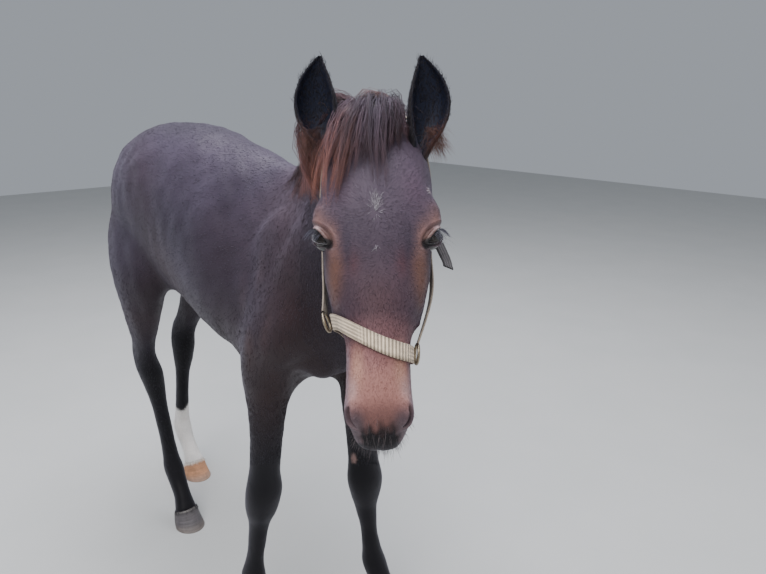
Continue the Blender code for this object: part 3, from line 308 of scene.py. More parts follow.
# Kinds of lashes: count, first and last angle round the opening, length, thickness and how they bend.
LASHES = [
    (95, 50, 165, 0.0120, 0.00018, -1.00),
    (4, 200, 330, 0.022, 0.00012, -0.35),
    (4, 40, 140, 0.024, 0.00012, 0.2),
]

# A strap's section with rolled edges: shares of its width and of its thickness.
SECTION = [
    (-0.50, 0.15), (-0.50, 0.70), (-0.46, 1.0), (-0.25, 0.92), (0, 0.92), (0.25, 0.92),
    (0.46, 1.0), (0.50, 0.70), (0.50, 0.15), (0.46, 0.0), (0, 0.04), (-0.46, 0.0),
]

# A hoof's stations: share of the way down, half length, half width and how far ahead it lies.
HOOF = np.array([(0, 0.0365, 0.0350, 0), (0.12, 0.040, 0.038, 0.002), (1, 0.052, 0.046, 0.020)])

# The short coat's pieces: tufts, and their length, width and lift off the skin.
COAT_TUFTS = {
    "coat_face": (22000, 0.0070, 0.00045, 0.00018),
    "coat_nose": (15500, 0.0062, 0.00046, 0.00016),
    "coat_cheeks": (9000, 0.0120, 0.0010, 0.0007),
    "coat_neck": (16000, 0.0150, 0.0010, 0.00026),
    "coat_flank_left": (15000, 0.0160, 0.0011, 0.00026),
    "coat_flank_right": (20000, 0.0150, 0.0010, 0.00026),
    "coat_forelegs": (11000, 0.0115, 0.0009, 0.00030),
    "coat_hindlegs": (11000, 0.0115, 0.0009, 0.00030),
}

# Soft studio lights round the foal: name, place, size, power and colour. All point at its middle.
LIGHTS = [
    ("key", (1.8, -2.4, 4.2), 3.2, 150, (1.0, 0.98, 0.96)),
    ("sky", (-0.6, 0.2, 4.6), 4.0, 330, (0.92, 0.93, 1.0)),
    ("fill", (3.8, 1.6, 1.9), 5.0, 34, (1.0, 0.97, 0.95)),
]
LIT_PLACE = Vector((0.1, 0, 0.9))

# The camera, fitted to the photo in the frame of the tables above.
CAMERA_PLACE = Vector((1.3603, -0.8540, 1.391))
CAMERA_RIGHT = Vector((0.6494, 0.7604, 0.0))
CAMERA_UP = Vector((-0.212, 0.181, 0.9603))
CAMERA_LENS = 31.82

# Colours, linear.
COAT = np.array((0.038, 0.029, 0.045))
COAT_BROWN = np.array((0.048, 0.026, 0.026))
COAT_BLACK = np.array((0.0065, 0.0060, 0.0080))
FOREHEAD = np.array((0.082, 0.059, 0.084))
NOSE = np.array((0.082, 0.044, 0.052))
TAN = np.array((0.290, 0.155, 0.130))
RUST = np.array((0.200, 0.095, 0.064))
MUZZLE = np.array((0.370, 0.175, 0.150))
# A painted sheen highlight on the muzzle's sides.
MUZZLE_SHEEN = np.array((0.48, 0.32, 0.31))
NOSTRIL = np.array((0.085, 0.064, 0.078))
LIP = np.array((0.011, 0.0095, 0.0105))
SOCK = np.array((0.90, 0.86, 0.82))
WHITE_HAIR = np.array((0.50, 0.46, 0.50))
FOLD_PINK = np.array((0.50, 0.36, 0.38))
MUZZLE_LOW = np.array((0.21, 0.100, 0.088))
MUZZLE_TAN = np.array((0.58, 0.32, 0.235))
# The muzzle's side planes: painted shade with a painted cool sheen.
MUZZLE_SIDE_SHEEN_SHADE = np.array((0.235, 0.165, 0.185))
LIP_SIDE = np.array((0.150, 0.105, 0.115))
MUZZLE_TOP = np.array((0.270, 0.125, 0.125))
# The forelock's roots: dark hair with a painted grey sheen.
FORELOCK_GREY_SHEEN = np.array((0.072, 0.055, 0.078))
FORELOCK_BROWN = np.array((0.105, 0.050, 0.050))
FORELOCK_RUST = np.array((0.42, 0.155, 0.090))
MANE_ROOT = np.array((0.074, 0.044, 0.052))
MANE_TIP = np.array((0.37, 0.150, 0.115))
NOSEBAND_TINT = np.array((0.80, 0.64, 0.47))
HEADSTALL_TINT = np.array((0.58, 0.48, 0.38))
LOOSE_END_TINT = np.array((0.075, 0.066, 0.070))
EAR_DARK = np.array((0.014, 0.012, 0.014))
EAR_DOWN = np.array((0.016, 0.014, 0.017))
SHEEN_TINT = (0.78, 0.74, 0.95, 1)

# Horn: its own colour, at the coronet and near the ground.
DARK_HORN = ((0.105, 0.095, 0.100), (0.30, 0.28, 0.26), (0.19, 0.16, 0.14))
PALE_HORN = ((0.52, 0.26, 0.14), (0.62, 0.50, 0.40), (0.34, 0.26, 0.22))


def bend(point):
    """A point of the straight trunk, carried round the neck's bend to the right."""
    over = point.x - BEND_START
    if over <= 0:
        return point.copy()
    length = BEND_END - BEND_START
    radius = length / NECK_TURN
    turn = NECK_TURN * min(over / length, 1)
    beyond = max(over - length, 0)
    x = BEND_START + radius * math.sin(turn) + beyond * math.cos(turn) + point.y * math.sin(turn)
    y = -radius * (1 - math.cos(turn)) - beyond * math.sin(turn) + point.y * math.cos(turn)
    return Vector((x, y, point.z))


def head_matrix():
    """The matrix from the head's frame, along, left and out of the face, to the tables' frame."""
    ahead = Vector((math.cos(HEAD_TURN), -math.sin(HEAD_TURN), 0))
    up = Vector((0, 0, 1))
    along = ahead * math.sin(FACE_SLOPE) - up * math.cos(FACE_SLOPE)
    out = ahead * math.cos(FACE_SLOPE) + up * math.sin(FACE_SLOPE)
    matrix = Matrix((along, out.cross(along), out)).transposed().to_4x4()
    matrix.translation = bend(Vector((POLL_ALONG, 0, POLL_HEIGHT))) + HEAD_SHIFT
    return matrix


HEAD_FRAME = head_matrix()
HEAD_TURNED = np.array(HEAD_FRAME.to_3x3())
HEAD_ORIGIN = np.array(HEAD_FRAME.translation)


def to_head(points):
    """Points in the head's frame: along the face from the poll, to the left, out of the face."""
    return (points - HEAD_ORIGIN) @ HEAD_TURNED


def from_head(points):
    """Points of the head's frame, in the frame of the tables."""
    return np.asarray(points, float) @ HEAD_TURNED.T + HEAD_ORIGIN


def between(rows, per_gap):
    """Rows of numbers with smooth Catmull-Rom rows set between them."""
    rows = np.array(rows, float)
    padded = np.vstack([2 * rows[0] - rows[1], rows, 2 * rows[-1] - rows[-2]])
    filled = []
    for i in range(1, len(padded) - 2):
        before, start, end, after = padded[i - 1 : i + 3]
        for t in np.arange(per_gap) / per_gap:
            filled.append(
                start
                + 0.5 * t * (end - before)
                + t * t * (before - 2.5 * start + 2 * end - 0.5 * after)
                + 0.5 * t**3 * (3 * start - before - 3 * end + after)
            )
    return np.vstack([filled, rows[-1:]])


def signed_power(value, power):
    return math.copysign(abs(value) ** power, value)


def ring(top, bottom, side, widest, arch, keel, count):
    """One closed cross-section through an upper and a lower outline point."""
    centre = bottom.lerp(top, widest)
    points = []
    for i in range(count):
        turn = 2 * math.pi * i / count
        power, reach = (arch, top - centre) if i < count / 2 else (keel, centre - bottom)
        across = side * signed_power(math.cos(turn), power)
        points.append(centre + across + reach * signed_power(math.sin(turn), power))
    return points


def object_of(name, bm):
    mesh = bpy.data.meshes.new(name)
    bm.to_mesh(mesh)
    bm.free()
    obj = bpy.data.objects.new(name, mesh)
    bpy.context.scene.collection.objects.link(obj)
    return obj


def skinned(name, rings, closed=False):
    """A closed mesh object through rings of equally many points."""
    bm = bmesh.new()
    loops = [[bm.verts.new(p) for p in points] for points in rings]
    followers = loops[1:] + loops[:1] if closed else loops[1:]
    for first, second in zip(loops, followers):
        for i in range(len(first)):
            j = (i + 1) % len(first)
            bm.faces.new((first[i], first[j], second[j], second[i]))
    if not closed:
        bm.faces.new(loops[0])
        bm.faces.new(loops[-1])
    bmesh.ops.recalc_face_normals(bm, faces=bm.faces)
    return object_of(name, bm)


def sagittal_loft(name, rows, place, count):
    """A loft through stations given in a side view, set in the world by place."""
    rings = []
    for ax, az, bx, bz, width, widest, arch, keel in between(rows, 4):
        points = ring(
            Vector((ax, 0, az)), Vector((bx, 0, bz)), Vector((0, width, 0)), widest, arch, keel, count
        )
        rings.append([place(p) for p in points])
    return skinned(name, rings)


def leg_loft(name, rows, fetlock, pivot, stride, side):
    """A leg whose lower end stands stride ahead of a square stance, turning about its pivot height."""
    rings = []
    for ax, az, bx, bz, y, width in between(rows, 4):
        lean = [stride * min(max((pivot - z) / (pivot - FETLOCK_HEIGHT), 0), 1) for z in (az, bz)]
        front = Vector((fetlock + ax + lean[0], side * y, az))
        rear = Vector((fetlock + bx + lean[1], side * y, bz))
        rings.append(ring(front, rear, Vector((0, width, 0)), 0.5, 0.92, 0.92, 24))
    return skinned(name, rings)


def mass(centre, radii, tilt, place=Matrix.Identity(4)):
    """An egg-shaped mass of muscle or bone, tilted in a side view."""
    bm = bmesh.new()
    bmesh.ops.create_icosphere(bm, subdivisions=3, radius=1)
    turn = Matrix.Rotation(math.radians(tilt), 4, "Y")
    bm.transform(place @ Matrix.Translation(centre) @ turn @ Matrix.Diagonal((*radii, 1)))
    bmesh.ops.recalc_face_normals(bm, faces=bm.faces)
    return object_of("mass", bm)


def applied(obj):
    """Puts what the object's modifiers make into its mesh."""
    graph = bpy.context.evaluated_depsgraph_get()
    obj.data = bpy.data.meshes.new_from_object(obj.evaluated_get(graph))
    obj.modifiers.clear()
    return obj


def leg_table():
    """Each leg's name, stations, fetlock place, stride and side."""
    for side, name in ((1, "left"), (-1, "right")):
        yield "front_" + name, FORELEG, FRONT_FETLOCK, STRIDE["front_" + name], side
        yield "hind_" + name, HINDLEG, HIND_FETLOCK, STRIDE["hind_" + name], side


def coronet_frame(rows, fetlock, stride, side):
    """The middle of the cut above a hoof, and its slope."""
    ax, az, bx, bz, y, _ = rows[CORONET]
    front = Vector((fetlock + ax + stride, side * y, az))
    rear = Vector((fetlock + bx + stride, side * y, bz))
    return (front + rear) / 2, front - rear


def shift_to_pack():
    """From the tables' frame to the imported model's, found from one hoof."""
    centre, _ = coronet_frame(FORELEG, FRONT_FETLOCK, STRIDE["front_right"], -1)
    low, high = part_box("hoof_front_right")
    toe = centre.x + TOE_REACH
    return Vector((high.x - toe, (low.y + high.y) / 2 - centre.y, 0))


def vertex_array(mesh, what="co"):
    values = np.zeros(len(mesh.vertices) * 3, np.float32)
    if what == "co":
        mesh.vertices.foreach_get("co", values)
    else:
        mesh.vertex_normals.foreach_get("vector", values)
    return values.reshape(-1, 3).astype(float)


def put_vertices(mesh, points):
    mesh.vertices.foreach_set("co", np.asarray(points, np.float32).ravel())
    mesh.update()


def smooth_shaded(mesh):
    mesh.polygons.foreach_set("use_smooth", np.ones(len(mesh.polygons), bool))


def face_outward(obj):
    """Turns every face of a piece to its outside."""
    bm = bmesh.new()
    bm.from_mesh(obj.data)
    bmesh.ops.recalc_face_normals(bm, faces=bm.faces)
    bm.to_mesh(obj.data)
    bm.free()


def circle(count):
    """Angles evenly round a full turn."""
    return 2 * math.pi * np.arange(count) / count


def mirrored(points):
    """Points of both sides, laid over the left side."""
    return np.c_[points[:, 0], np.abs(points[:, 1]), points[:, 2]]


def unit(vectors):
    return vectors / np.maximum(np.linalg.norm(vectors, axis=-1, keepdims=True), 1e-12)


def ramp(values, low, high):
    """A smooth step from 0 at low to 1 at high."""
    t = np.clip((np.asarray(values, float) - low) / (high - low), 0, 1)
    return t * t * (3 - 2 * t)


def blob(points, centre, radii):
    """A soft spot: 1 at the centre, fading over the radii."""
    return np.exp(-(((points - np.array(centre)) / np.array(radii)) ** 2).sum(axis=-1))


def ridge(values, middle, width):
    """A soft band: 1 at the middle, fading over the width."""
    return np.exp(-(((values - middle) / width) ** 2))


def ripple(points, size, seed):
    """A smooth repeatable variation in space, about -1 to 1, with features of a given size."""
    dice = np.random.default_rng(seed)
    total = np.zeros(len(points))
    for _ in range(7):
        total += np.sin(points @ (dice.normal(size=3) / size) + dice.uniform(0, FULL_TURN))
    return total / 3


def smoothed(points, edges, weights, rounds):
    """Points drawn towards the middle of their neighbours."""
    a, b = edges[:, 0], edges[:, 1]
    count = np.bincount(a, minlength=len(points)) + np.bincount(b, minlength=len(points))
    for _ in range(rounds):
        total = np.empty_like(points)
        for k in range(3):
            column = points[:, k]
            total[:, k] = np.bincount(a, column[b], len(points)) + np.bincount(b, column[a], len(points))
        points = points + weights[:, None] * (total / np.maximum(count, 1)[:, None] - points)
    return points


def base_body():
    """The body as one skin, with the shape that the solids have before they are parted."""
    head = HEAD_FRAME
    clay = [sagittal_loft("trunk", TRUNK, bend, 36), sagittal_loft("head", HEAD, lambda p: head @ p, 32)]
    for name, rows, fetlock, stride, side in leg_table():
        pivot = SHOULDER_HEIGHT if rows is FORELEG else HIP_HEIGHT
        clay.append(leg_loft(name, rows, fetlock, pivot, stride, side))
    for side in (1, -1):
        for (x, y, z), radii, tilt in BODY_MASSES:
            clay.append(mass(Vector((x, y * side, z)), radii, tilt))
        for (x, y, z), radii, tilt in HEAD_MASSES:
            clay.append(mass(Vector((x, y * side, z)), radii, tilt, head))
    bm = bmesh.new()
    for obj in clay:
        bm.from_mesh(obj.data)
        bpy.data.objects.remove(obj)
    body = object_of("foal_skin", bm)
    remesh = body.modifiers.new("remesh", "REMESH")
    remesh.mode = "VOXEL"
    remesh.voxel_size = VOXEL
    applied(body)
    points = vertex_array(body.data)
    heads = to_head(points)
    in_head = (heads[:, 0] > -0.01) & (points[:, 0] > HEAD_WELL_AHEAD)
    leg = np.clip((SOFT_LEG_TOP - points[:, 2]) / SOFT_LEG_FADE, 0, 1)
    soft = np.where(in_head, HEAD_SOFTNESS, 1 - (1 - LEG_SOFTNESS) * leg)
    edges = edge_array(body.data)
    put_vertices(body.data, smoothed(points, edges, 0.5 * soft, SMOOTHING))
    return body


def edge_array(mesh):
    edges = np.zeros(len(mesh.edges) * 2, np.int32)
    mesh.edges.foreach_get("vertices", edges)
    return edges.reshape(-1, 2)


def split_finer(obj, chosen):
    """Splits the edges whose ends are both chosen, and with them the faces between."""
    bm = bmesh.new()
    bm.from_mesh(obj.data)
    bm.verts.ensure_lookup_table()
    edges = [e for e in bm.edges if chosen[e.verts[0].index] and chosen[e.verts[1].index]]
    bmesh.ops.subdivide_edges(bm, edges=edges, cuts=1, use_grid_fill=True, smooth=0)
    bm.to_mesh(obj.data)
    bm.free()


def surface_of(obj):
    """An object's surface, for rays and nearest points."""
    bm = bmesh.new()
    bm.from_mesh(obj.data)
    tree = BVHTree.FromBMesh(bm)
    bm.free()
    return tree


def eye_seat(tree, side):
    """The centre of an eyeball, the direction it looks, and the long and short ways of its opening."""
    start = HEAD_FRAME @ Vector((0.190, side * 0.040, -0.036))
    turn = HEAD_FRAME.to_3x3()
    look = (turn @ Vector((0.12, side * 0.80, 0.58))).normalized()
    spot = tree.ray_cast(start + look * 0.2, -look)[0]
    long = turn @ Vector((0.64, side * -0.51, 0.575))
    long = (long - look * long.dot(look)).normalized()
    short = look.cross(long)
    if short.dot(turn @ Vector((0, 0, 1))) < 0:
        short.negate()
    return [np.array(v) for v in (spot - look * (EYE_RADIUS - EYE_PROUD), look, long, short)]


def opening(points, eye):
    """How far out of the lids' opening points lie (1 at the rim), and their places along and above it."""
    centre, look, long, short = eye
    away = points - centre
    s, t, depth = away @ long, away @ short, away @ look
    height = np.where(t > 0, LID_HEIGHT, LOWER_LID * LID_HEIGHT)
    reach = np.abs(s / LID_LENGTH) ** 2.0 + np.abs(t / height) ** 1.55
    return np.where(depth > 0, reach**0.55, 9.0), s, t, away


def sculpted(points, normals, eyes, tree):
    """The fine forms of the head and legs, as moves of the skin's points."""
    heads = to_head(points)
    x, y, out = heads.T
    wide = np.abs(y)
    cheek = mirrored(heads)
    near = (x > -0.02) & (points[:, 0] > HEAD_WELL_AHEAD)
    lift = np.zeros(len(points))
    # Hollow over the eye, jaw's edge, bony crest, nasal bones, and the groove behind the chin.
    lift -= 0.0040 * blob(cheek, (0.120, 0.074, -0.008), (0.020, 0.016, 0.018)) * near
    lift += 0.0022 * blob(cheek, (0.160, 0.078, 0.002), (0.022, 0.012, 0.014)) * near
    lift -= 0.0025 * ridge(out, -0.080, 0.010) * ramp(x, 0.22, 0.26) * ramp(-x, -0.36, -0.31) * near
    nasal = 0.0020 * ridge(wide, 0.030, 0.010) * ramp(x, 0.27, 0.31) * ramp(-x, -0.41, -0.37)
    lift -= nasal * near * (out > -0.03)
    lift -= 0.0030 * blob(np.c_[x, wide * 0.5, out], (0.415, 0.0, -0.110), (0.014, 0.02, 0.012)) * near
    # Veins that run down from the inner corner of the eye and along the cheek.
    for base, drop, size in ((0.052, 0.10, 0.0011), (0.062, 0.22, 0.0009)):
        track = base + 0.020 * (0.30 - x) / 0.1 * drop + 0.003 * np.sin(x * 70)
        vein = ridge(-out - track, -0.02, 0.0035)
        lift += size * vein * ramp(x, 0.225, 0.25) * ramp(-x, -0.345, -0.32) * (wide > 0.03) * near
    # The line of the mouth, and the lips on both sides of it.
    plane = -0.0855 + 0.10 * (x - 0.440)
    fade = ramp(x, 0.418, 0.436) * near
    lift -= 0.0042 * ridge(out, plane, 0.0022) * fade
    lift += 0.0016 * ridge(out - plane, 0.007, 0.0045) * fade
    lift += 0.0014 * ridge(out - plane, -0.007, 0.0045) * fade
    # A shallow channel down the middle of the upper lip.
    lift -= 0.0016 * ridge(y, 0, 0.0035) * ramp(x, 0.452, 0.47) * (out > plane) * near
    # Tendons and bones of the legs.
    low = ramp(-points[:, 2], -0.62, -0.50)
    lift += 0.0010 * ripple(points, 0.030, 3) * low
    lift += 0.0022 * ripple(points * np.array((1, 1, 0.6)), 0.060, 4) * (1 - low) * ~near
    lift += 0.0009 * ripple(points, 0.012, 5) * (1 - low) * ~near
    # The hollows of the flank and behind the shoulder.
    sided = mirrored(points)
    lift -= 0.0070 * blob(sided, (-0.055, 0.125, 1.115), (0.040, 0.06, 0.070))
    lift -= 0.0030 * blob(sided, (-0.010, 0.110, 1.00), (0.035, 0.06, 0.100))
    points = points + normals * lift[:, None]
    for side in (1, -1):
        points = opened_nostril(points, side, tree)
    for eye in eyes:
        points = lidded(points, eye)
    return points


def lidded(points, eye):
    """Wraps the skin round an eyeball, with folds above and below, and sinks it inside the opening."""
    centre = eye[0]
    reach, _, t, away = opening(points, eye)
    distance = np.linalg.norm(away, axis=1)
    shell = EYE_RADIUS + 0.0024
    wrap = ramp(-reach, -2.05, -1.05)
    above, below = ramp(t, 0.001, 0.006), ramp(-t, 0.001, 0.006)
    fold = above * 0.0022 * ridge(reach, 1.36, 0.16)
    fold -= above * 0.0011 * ridge(reach, 1.74, 0.07)
    fold += above * 0.0016 * ridge(reach, 2.02, 0.20)
    fold -= below * 0.0012 * ridge(reach, 1.62, 0.12)
    fold += below * 0.0008 * ridge(reach, 1.95, 0.14)
    fold -= below * 0.0009 * ridge(reach, 2.30, 0.14)
    wanted = distance + wrap * (shell - distance) + fold
    wanted = np.where(reach < 1.0, EYE_RADIUS - 0.005, wanted)
    near = (reach < 3.5) & (distance < 0.05)
    moved = centre + away * (wanted / distance)[:, None]
    return np.where(near[:, None], moved, points)


def round_the_eyes(points, colour, eyes):
    """Brown upper lids, palest at their outer ends, with painted shade along the crease above them, dark lower
    lids and black inner corners.
    """
    for eye in eyes:
        reach, s, t, _ = opening(points, eye)
        above, below = ramp(t, -0.001, 0.004), ramp(-t, 0.000, 0.004)
        colour = mixed(colour, TAN * 0.50, 0.75 * above * ramp(-reach, -2.1, -1.6))
        pale = above * ramp(-s, -0.008, 0.004) * ramp(-reach, -1.95, -1.55)
        colour = mixed(colour, FOLD_PINK, 0.62 * pale)
        # A darker band along the crease over the upper lid: painted shade in the crease.
        colour = mixed(colour, COAT_BROWN, 0.6 * above * ridge(reach, 1.70, 0.12))
        colour = mixed(colour, COAT_BROWN * 0.6, 0.85 * below * ramp(-reach, -1.75, -1.45))
        colour = mixed(colour, FOLD_PINK * 0.8, 0.45 * below * ridge(reach, 2.0, 0.16))
        corner = ramp(-np.hypot(s - 0.0200, t + 0.001), -0.0105, -0.0060)
        colour = mixed(colour, COAT_BLACK, 0.92 * corner)
    return colour


def nostril_frame(side, tree):
    """The place of a nostril, the way it faces, and its long and short ways."""
    turn = HEAD_FRAME.to_3x3()
    aim = (turn @ Vector((0.36, side * 0.64, 0.62))).normalized()
    inner = HEAD_FRAME @ Vector((0.430, side * 0.012, -0.052))
    spot = tree.ray_cast(inner, aim)[0]
    long = turn @ Vector((0.92, -side * 0.20, -0.28))
    long = (long - aim * long.dot(aim)).normalized()
    return [np.array(v) for v in (spot, aim, long, aim.cross(long) * side)]


def opened_nostril(points, side, tree):
    """Sinks the slanting comma of a nostril into the muzzle and raises its wings."""
    spot, aim, long, across = nostril_frame(side, tree)
    away = points - spot
    s, t, depth = away @ long, away @ across, away @ aim
    t = t + 0.0035 * (s / 0.016) ** 2 - 0.0015
    reach = np.sqrt((s / 0.0155) ** 2 + (t / 0.0046) ** 2)
    bowl = 0.014 * np.clip(1 - reach**2, 0, 1) ** 0.7
    rim = 0.0018 * ridge(reach, 1.40, 0.36) * (0.7 + 0.6 * ramp(t, -0.004, 0.006))
    move = np.where(np.abs(depth) < 0.03, rim - bowl, 0) * (reach < 3)
    return points + aim * move[:, None]


def mesh_object(name, points, faces, tint=None, uv=None, weave=None):
    """An object from points and faces of equally many corners, with a colour a point and up to two maps."""
    mesh = bpy.data.meshes.new(name)
    faces = np.asarray(faces, np.int32)
    corners = faces.shape[1]
    mesh.vertices.add(len(points))
    mesh.vertices.foreach_set("co", np.asarray(points, np.float32).ravel())
    mesh.loops.add(faces.size)
    mesh.loops.foreach_set("vertex_index", faces.ravel())
    mesh.polygons.add(len(faces))
    mesh.polygons.foreach_set("loop_start", np.arange(0, faces.size, corners, dtype=np.int32))
    smooth_shaded(mesh)
    mesh.update(calc_edges=True)
    obj = bpy.data.objects.new(name, mesh)
    bpy.context.scene.collection.objects.link(obj)
    if tint is not None:
        put_tint(mesh, tint)
    for layer_name, places in (("OFBake", uv), ("weave", weave)):
        if places is not None:
            layer = mesh.uv_layers.new(name=layer_name)
            layer.uv.foreach_set("vector", np.asarray(places, np.float32)[faces.ravel()].ravel())
    return obj


def put_tint(mesh, tint, name="tint"):
    """Gives each point of a mesh a colour, kept under a name."""
    layer = mesh.color_attributes.new(name=name, type="FLOAT_COLOR", domain="POINT")
    rows = np.ones((len(tint), 4), np.float32)
    rows[:, :3] = tint
    layer.data.foreach_set("color", rows.ravel())


def grid_faces(rows, columns, closed):
    """Four-cornered faces of a grid of points, row by row, its columns joined into rings if closed."""
    i, j = np.meshgrid(np.arange(rows - 1), np.arange(columns if closed else columns - 1), indexing="ij")
    i, j = i.ravel(), j.ravel()
    k = (j + 1) % columns
    return np.c_[i * columns + j, i * columns + k, (i + 1) * columns + k, (i + 1) * columns + j]


def closed_round(faces, rows, columns):
    """Adds the faces that join a grid's last row of points to its first."""
    last = (rows - 1) * columns
    j = np.arange(columns)
    k = (j + 1) % columns
    return np.vstack([faces, np.c_[last + j, last + k, k, j]])


def mixed(base, colour, share):
    """Colours drawn towards another colour by a share a point."""
    return base + (np.asarray(colour) - base) * np.clip(share, 0, 1)[:, None]


def markings(points):
    """The coat's colour at each place, with painted light: sheen along the top and on the muzzle's sides, and
    shade on the chest, low on the body and under the head.
    """
    heads = to_head(points)
    x, y, out = heads.T
    wide = np.abs(y)
    sided = mirrored(heads)
    near = ramp(x, -0.04, 0.03) * (points[:, 0] > HEAD_AHEAD)
    z = points[:, 2]
    mottle = ripple(points, 0.045, 11)
    colour = np.tile(COAT, (len(points), 1)) * (1 + 0.10 * mottle)[:, None]
    brown = blob(points, (0.20, -0.10, 0.80), (0.16, 0.13, 0.20))
    brown += blob(points, (0.20, 0.12, 0.78), (0.16, 0.12, 0.20))
    flank = mirrored(points)
    brown += 0.8 * blob(flank, (-0.34, 0.14, 0.90), (0.12, 0.10, 0.12))
    above_knee = 0.4 * ramp(-z, -0.80, -0.72) * ramp(z, 0.58, 0.66)
    brown += 0.7 * blob(flank, (0.02, 0.14, 0.76), (0.10, 0.08, 0.10)) + above_knee
    brown += 0.5 * blob(flank, (-0.82, 0.06, 0.98), (0.10, 0.10, 0.16))
    brown += 0.30 * ripple(points, 0.10, 12)
    colour = mixed(colour, COAT_BROWN, brown * 0.75)
    shoulder = blob(points, (0.14, -0.15, 0.86), (0.09, 0.08, 0.14))
    streak = ripple(points * np.array((1.0, 1.0, 0.25)), 0.018, 14) * shoulder
    colour = mixed(colour, COAT_BROWN * 1.7, 0.8 * streak)
    # A dark warm brown on the chest: its own colour, made darker still as painted shade under the neck.
    chest_brown_and_shade = blob(points, (0.32, -0.06, 0.90), (0.12, 0.15, 0.14))
    colour = mixed(colour, (0.018, 0.006, 0.003), 0.95 * chest_brown_and_shade)
    # Darker brown low on the body: painted shade under the barrel.
    low_side_shade = ramp(-z, -0.98, -0.78) * ramp(points[:, 0], -0.75, -0.45)
    colour = mixed(colour, COAT_BROWN * 0.42, 0.8 * low_side_shade)
    # Darker on the throat and upper neck under the head: a painted shadow of the head.
    throat_shadow = ramp(points[:, 0], 0.20, 0.34) * ramp(-z, -1.28, -1.05)
    colour = mixed(colour, COAT * 0.55, 0.75 * throat_shadow)
    # Lighter towards the top of the body: a painted sheen from the light above.
    colour = colour * (1 + 0.55 * ramp(z, 1.00, 1.25))[:, None]
    black = ramp(-z, -0.74, -0.50) + 0.35 * ramp(z, 1.24, 1.30) * (points[:, 0] < 0.05)
    colour = mixed(colour, COAT_BLACK, black)
    face = mixed(colour, FOREHEAD, ramp(out, -0.10, -0.02) * 0.9)
    brow = blob(sided, (0.135, 0.055, 0.02), (0.035, 0.022, 0.04))
    face = mixed(face, FOREHEAD * (1.25, 1.05, 1.10), 0.5 * brow)
    face = mixed(face, NOSE, blob(heads, (0.300, 0.0, 0.0), (0.060, 0.050, 0.04)))
    under_eye = blob(sided, (0.240, 0.036, 0.010), (0.020, 0.012, 0.020))
    face = mixed(face, NOSE * (1.35, 0.9, 0.9), 0.6 * under_eye)
    for trail, trail_colour in ((TAN_TRAIL, TAN), (RUST_TRAIL, RUST)):
        for place, radii, share in trail:
            face = mixed(face, trail_colour, share * blob(sided, place, radii))
    face = mixed(face, COAT * 1.25, 0.70 * blob(sided, (0.225, 0.041, 0.014), (0.045, 0.0060, 0.012)))
    face = mixed(face, COAT_BROWN * 0.8, 0.55 * blob(sided, (0.222, 0.074, -0.012), (0.010, 0.008, 0.012)))
    face = mixed(face, MUZZLE_TOP, 0.45 * ramp(x, 0.300, 0.335))
    face = mixed(face, MUZZLE_TOP, ramp(x, 0.335, 0.360))
    face = mixed(face, MUZZLE, ramp(x, 0.355, 0.400))
    face = mixed(face, MUZZLE_TAN, 0.70 * blob(sided, (0.378, 0.030, -0.010), (0.026, 0.009, 0.020)))
    # The side planes of the muzzle turn grey-lilac: painted shade with a painted cool sheen.
    face = mixed(face, MUZZLE_SIDE_SHEEN_SHADE, 0.85 * ramp(wide, 0.036, 0.044) * ramp(x, 0.340, 0.362))
    # A pale lilac-pink spot on each side of the muzzle: a painted sheen highlight.
    face = mixed(face, MUZZLE_SHEEN, 0.65 * blob(sided, (0.408, 0.036, -0.022), (0.016, 0.007, 0.020)))
    face = mixed(face, MUZZLE_LOW, ramp(x, 0.412, 0.446) * ramp(-wide, -0.044, -0.030))
    face = mixed(face, NOSTRIL, 0.85 * ramp(x + 0.35 * wide, 0.432, 0.462) * ramp(wide, 0.010, 0.030))
    face = mixed(face, NOSTRIL, 0.9 * ramp(-out, 0.045, 0.075) * ramp(x, 0.40, 0.43))
    face = mixed(face, LIP_SIDE, 0.9 * ramp(x, 0.446, 0.458) * ramp(wide, 0.018, 0.030))
    edge = 0.004 * ripple(points, 0.004, 15)
    face = mixed(face, LIP, ramp(x + edge, 0.446, 0.468) * ramp(-wide - edge, -0.031, -0.022))
    face = mixed(face, LIP, 0.85 * ramp(-out, 0.088, 0.096) * ramp(x, 0.41, 0.43))
    face = mixed(face, COAT_BLACK * 2.0, ramp(-x, -0.045, -0.015) * 0.5)
    colour = colour + (face - colour) * near[:, None]
    pale_mark = blob(heads, (0.129, 0.076, 0.007), (0.0035, 0.0035, 0.006))
    colour = mixed(colour, TAN * 1.3, 0.6 * pale_mark * near)
    top = 0.262 + 0.010 * ripple(points, 0.02, 13)
    sock = ramp(-z, -(top + 0.006), -(top - 0.006)) * (points[:, 0] < -0.5) * (points[:, 1] > 0)
    colour = mixed(colour, SOCK, sock)
    chestnut = blob(points, (0.150, 0.085, 0.497), (0.010, 0.014, 0.016))
    colour = mixed(colour, (0.30, 0.19, 0.17), 0.9 * ramp(chestnut, 0.3, 0.6))
    return np.maximum(colour, 0.004)


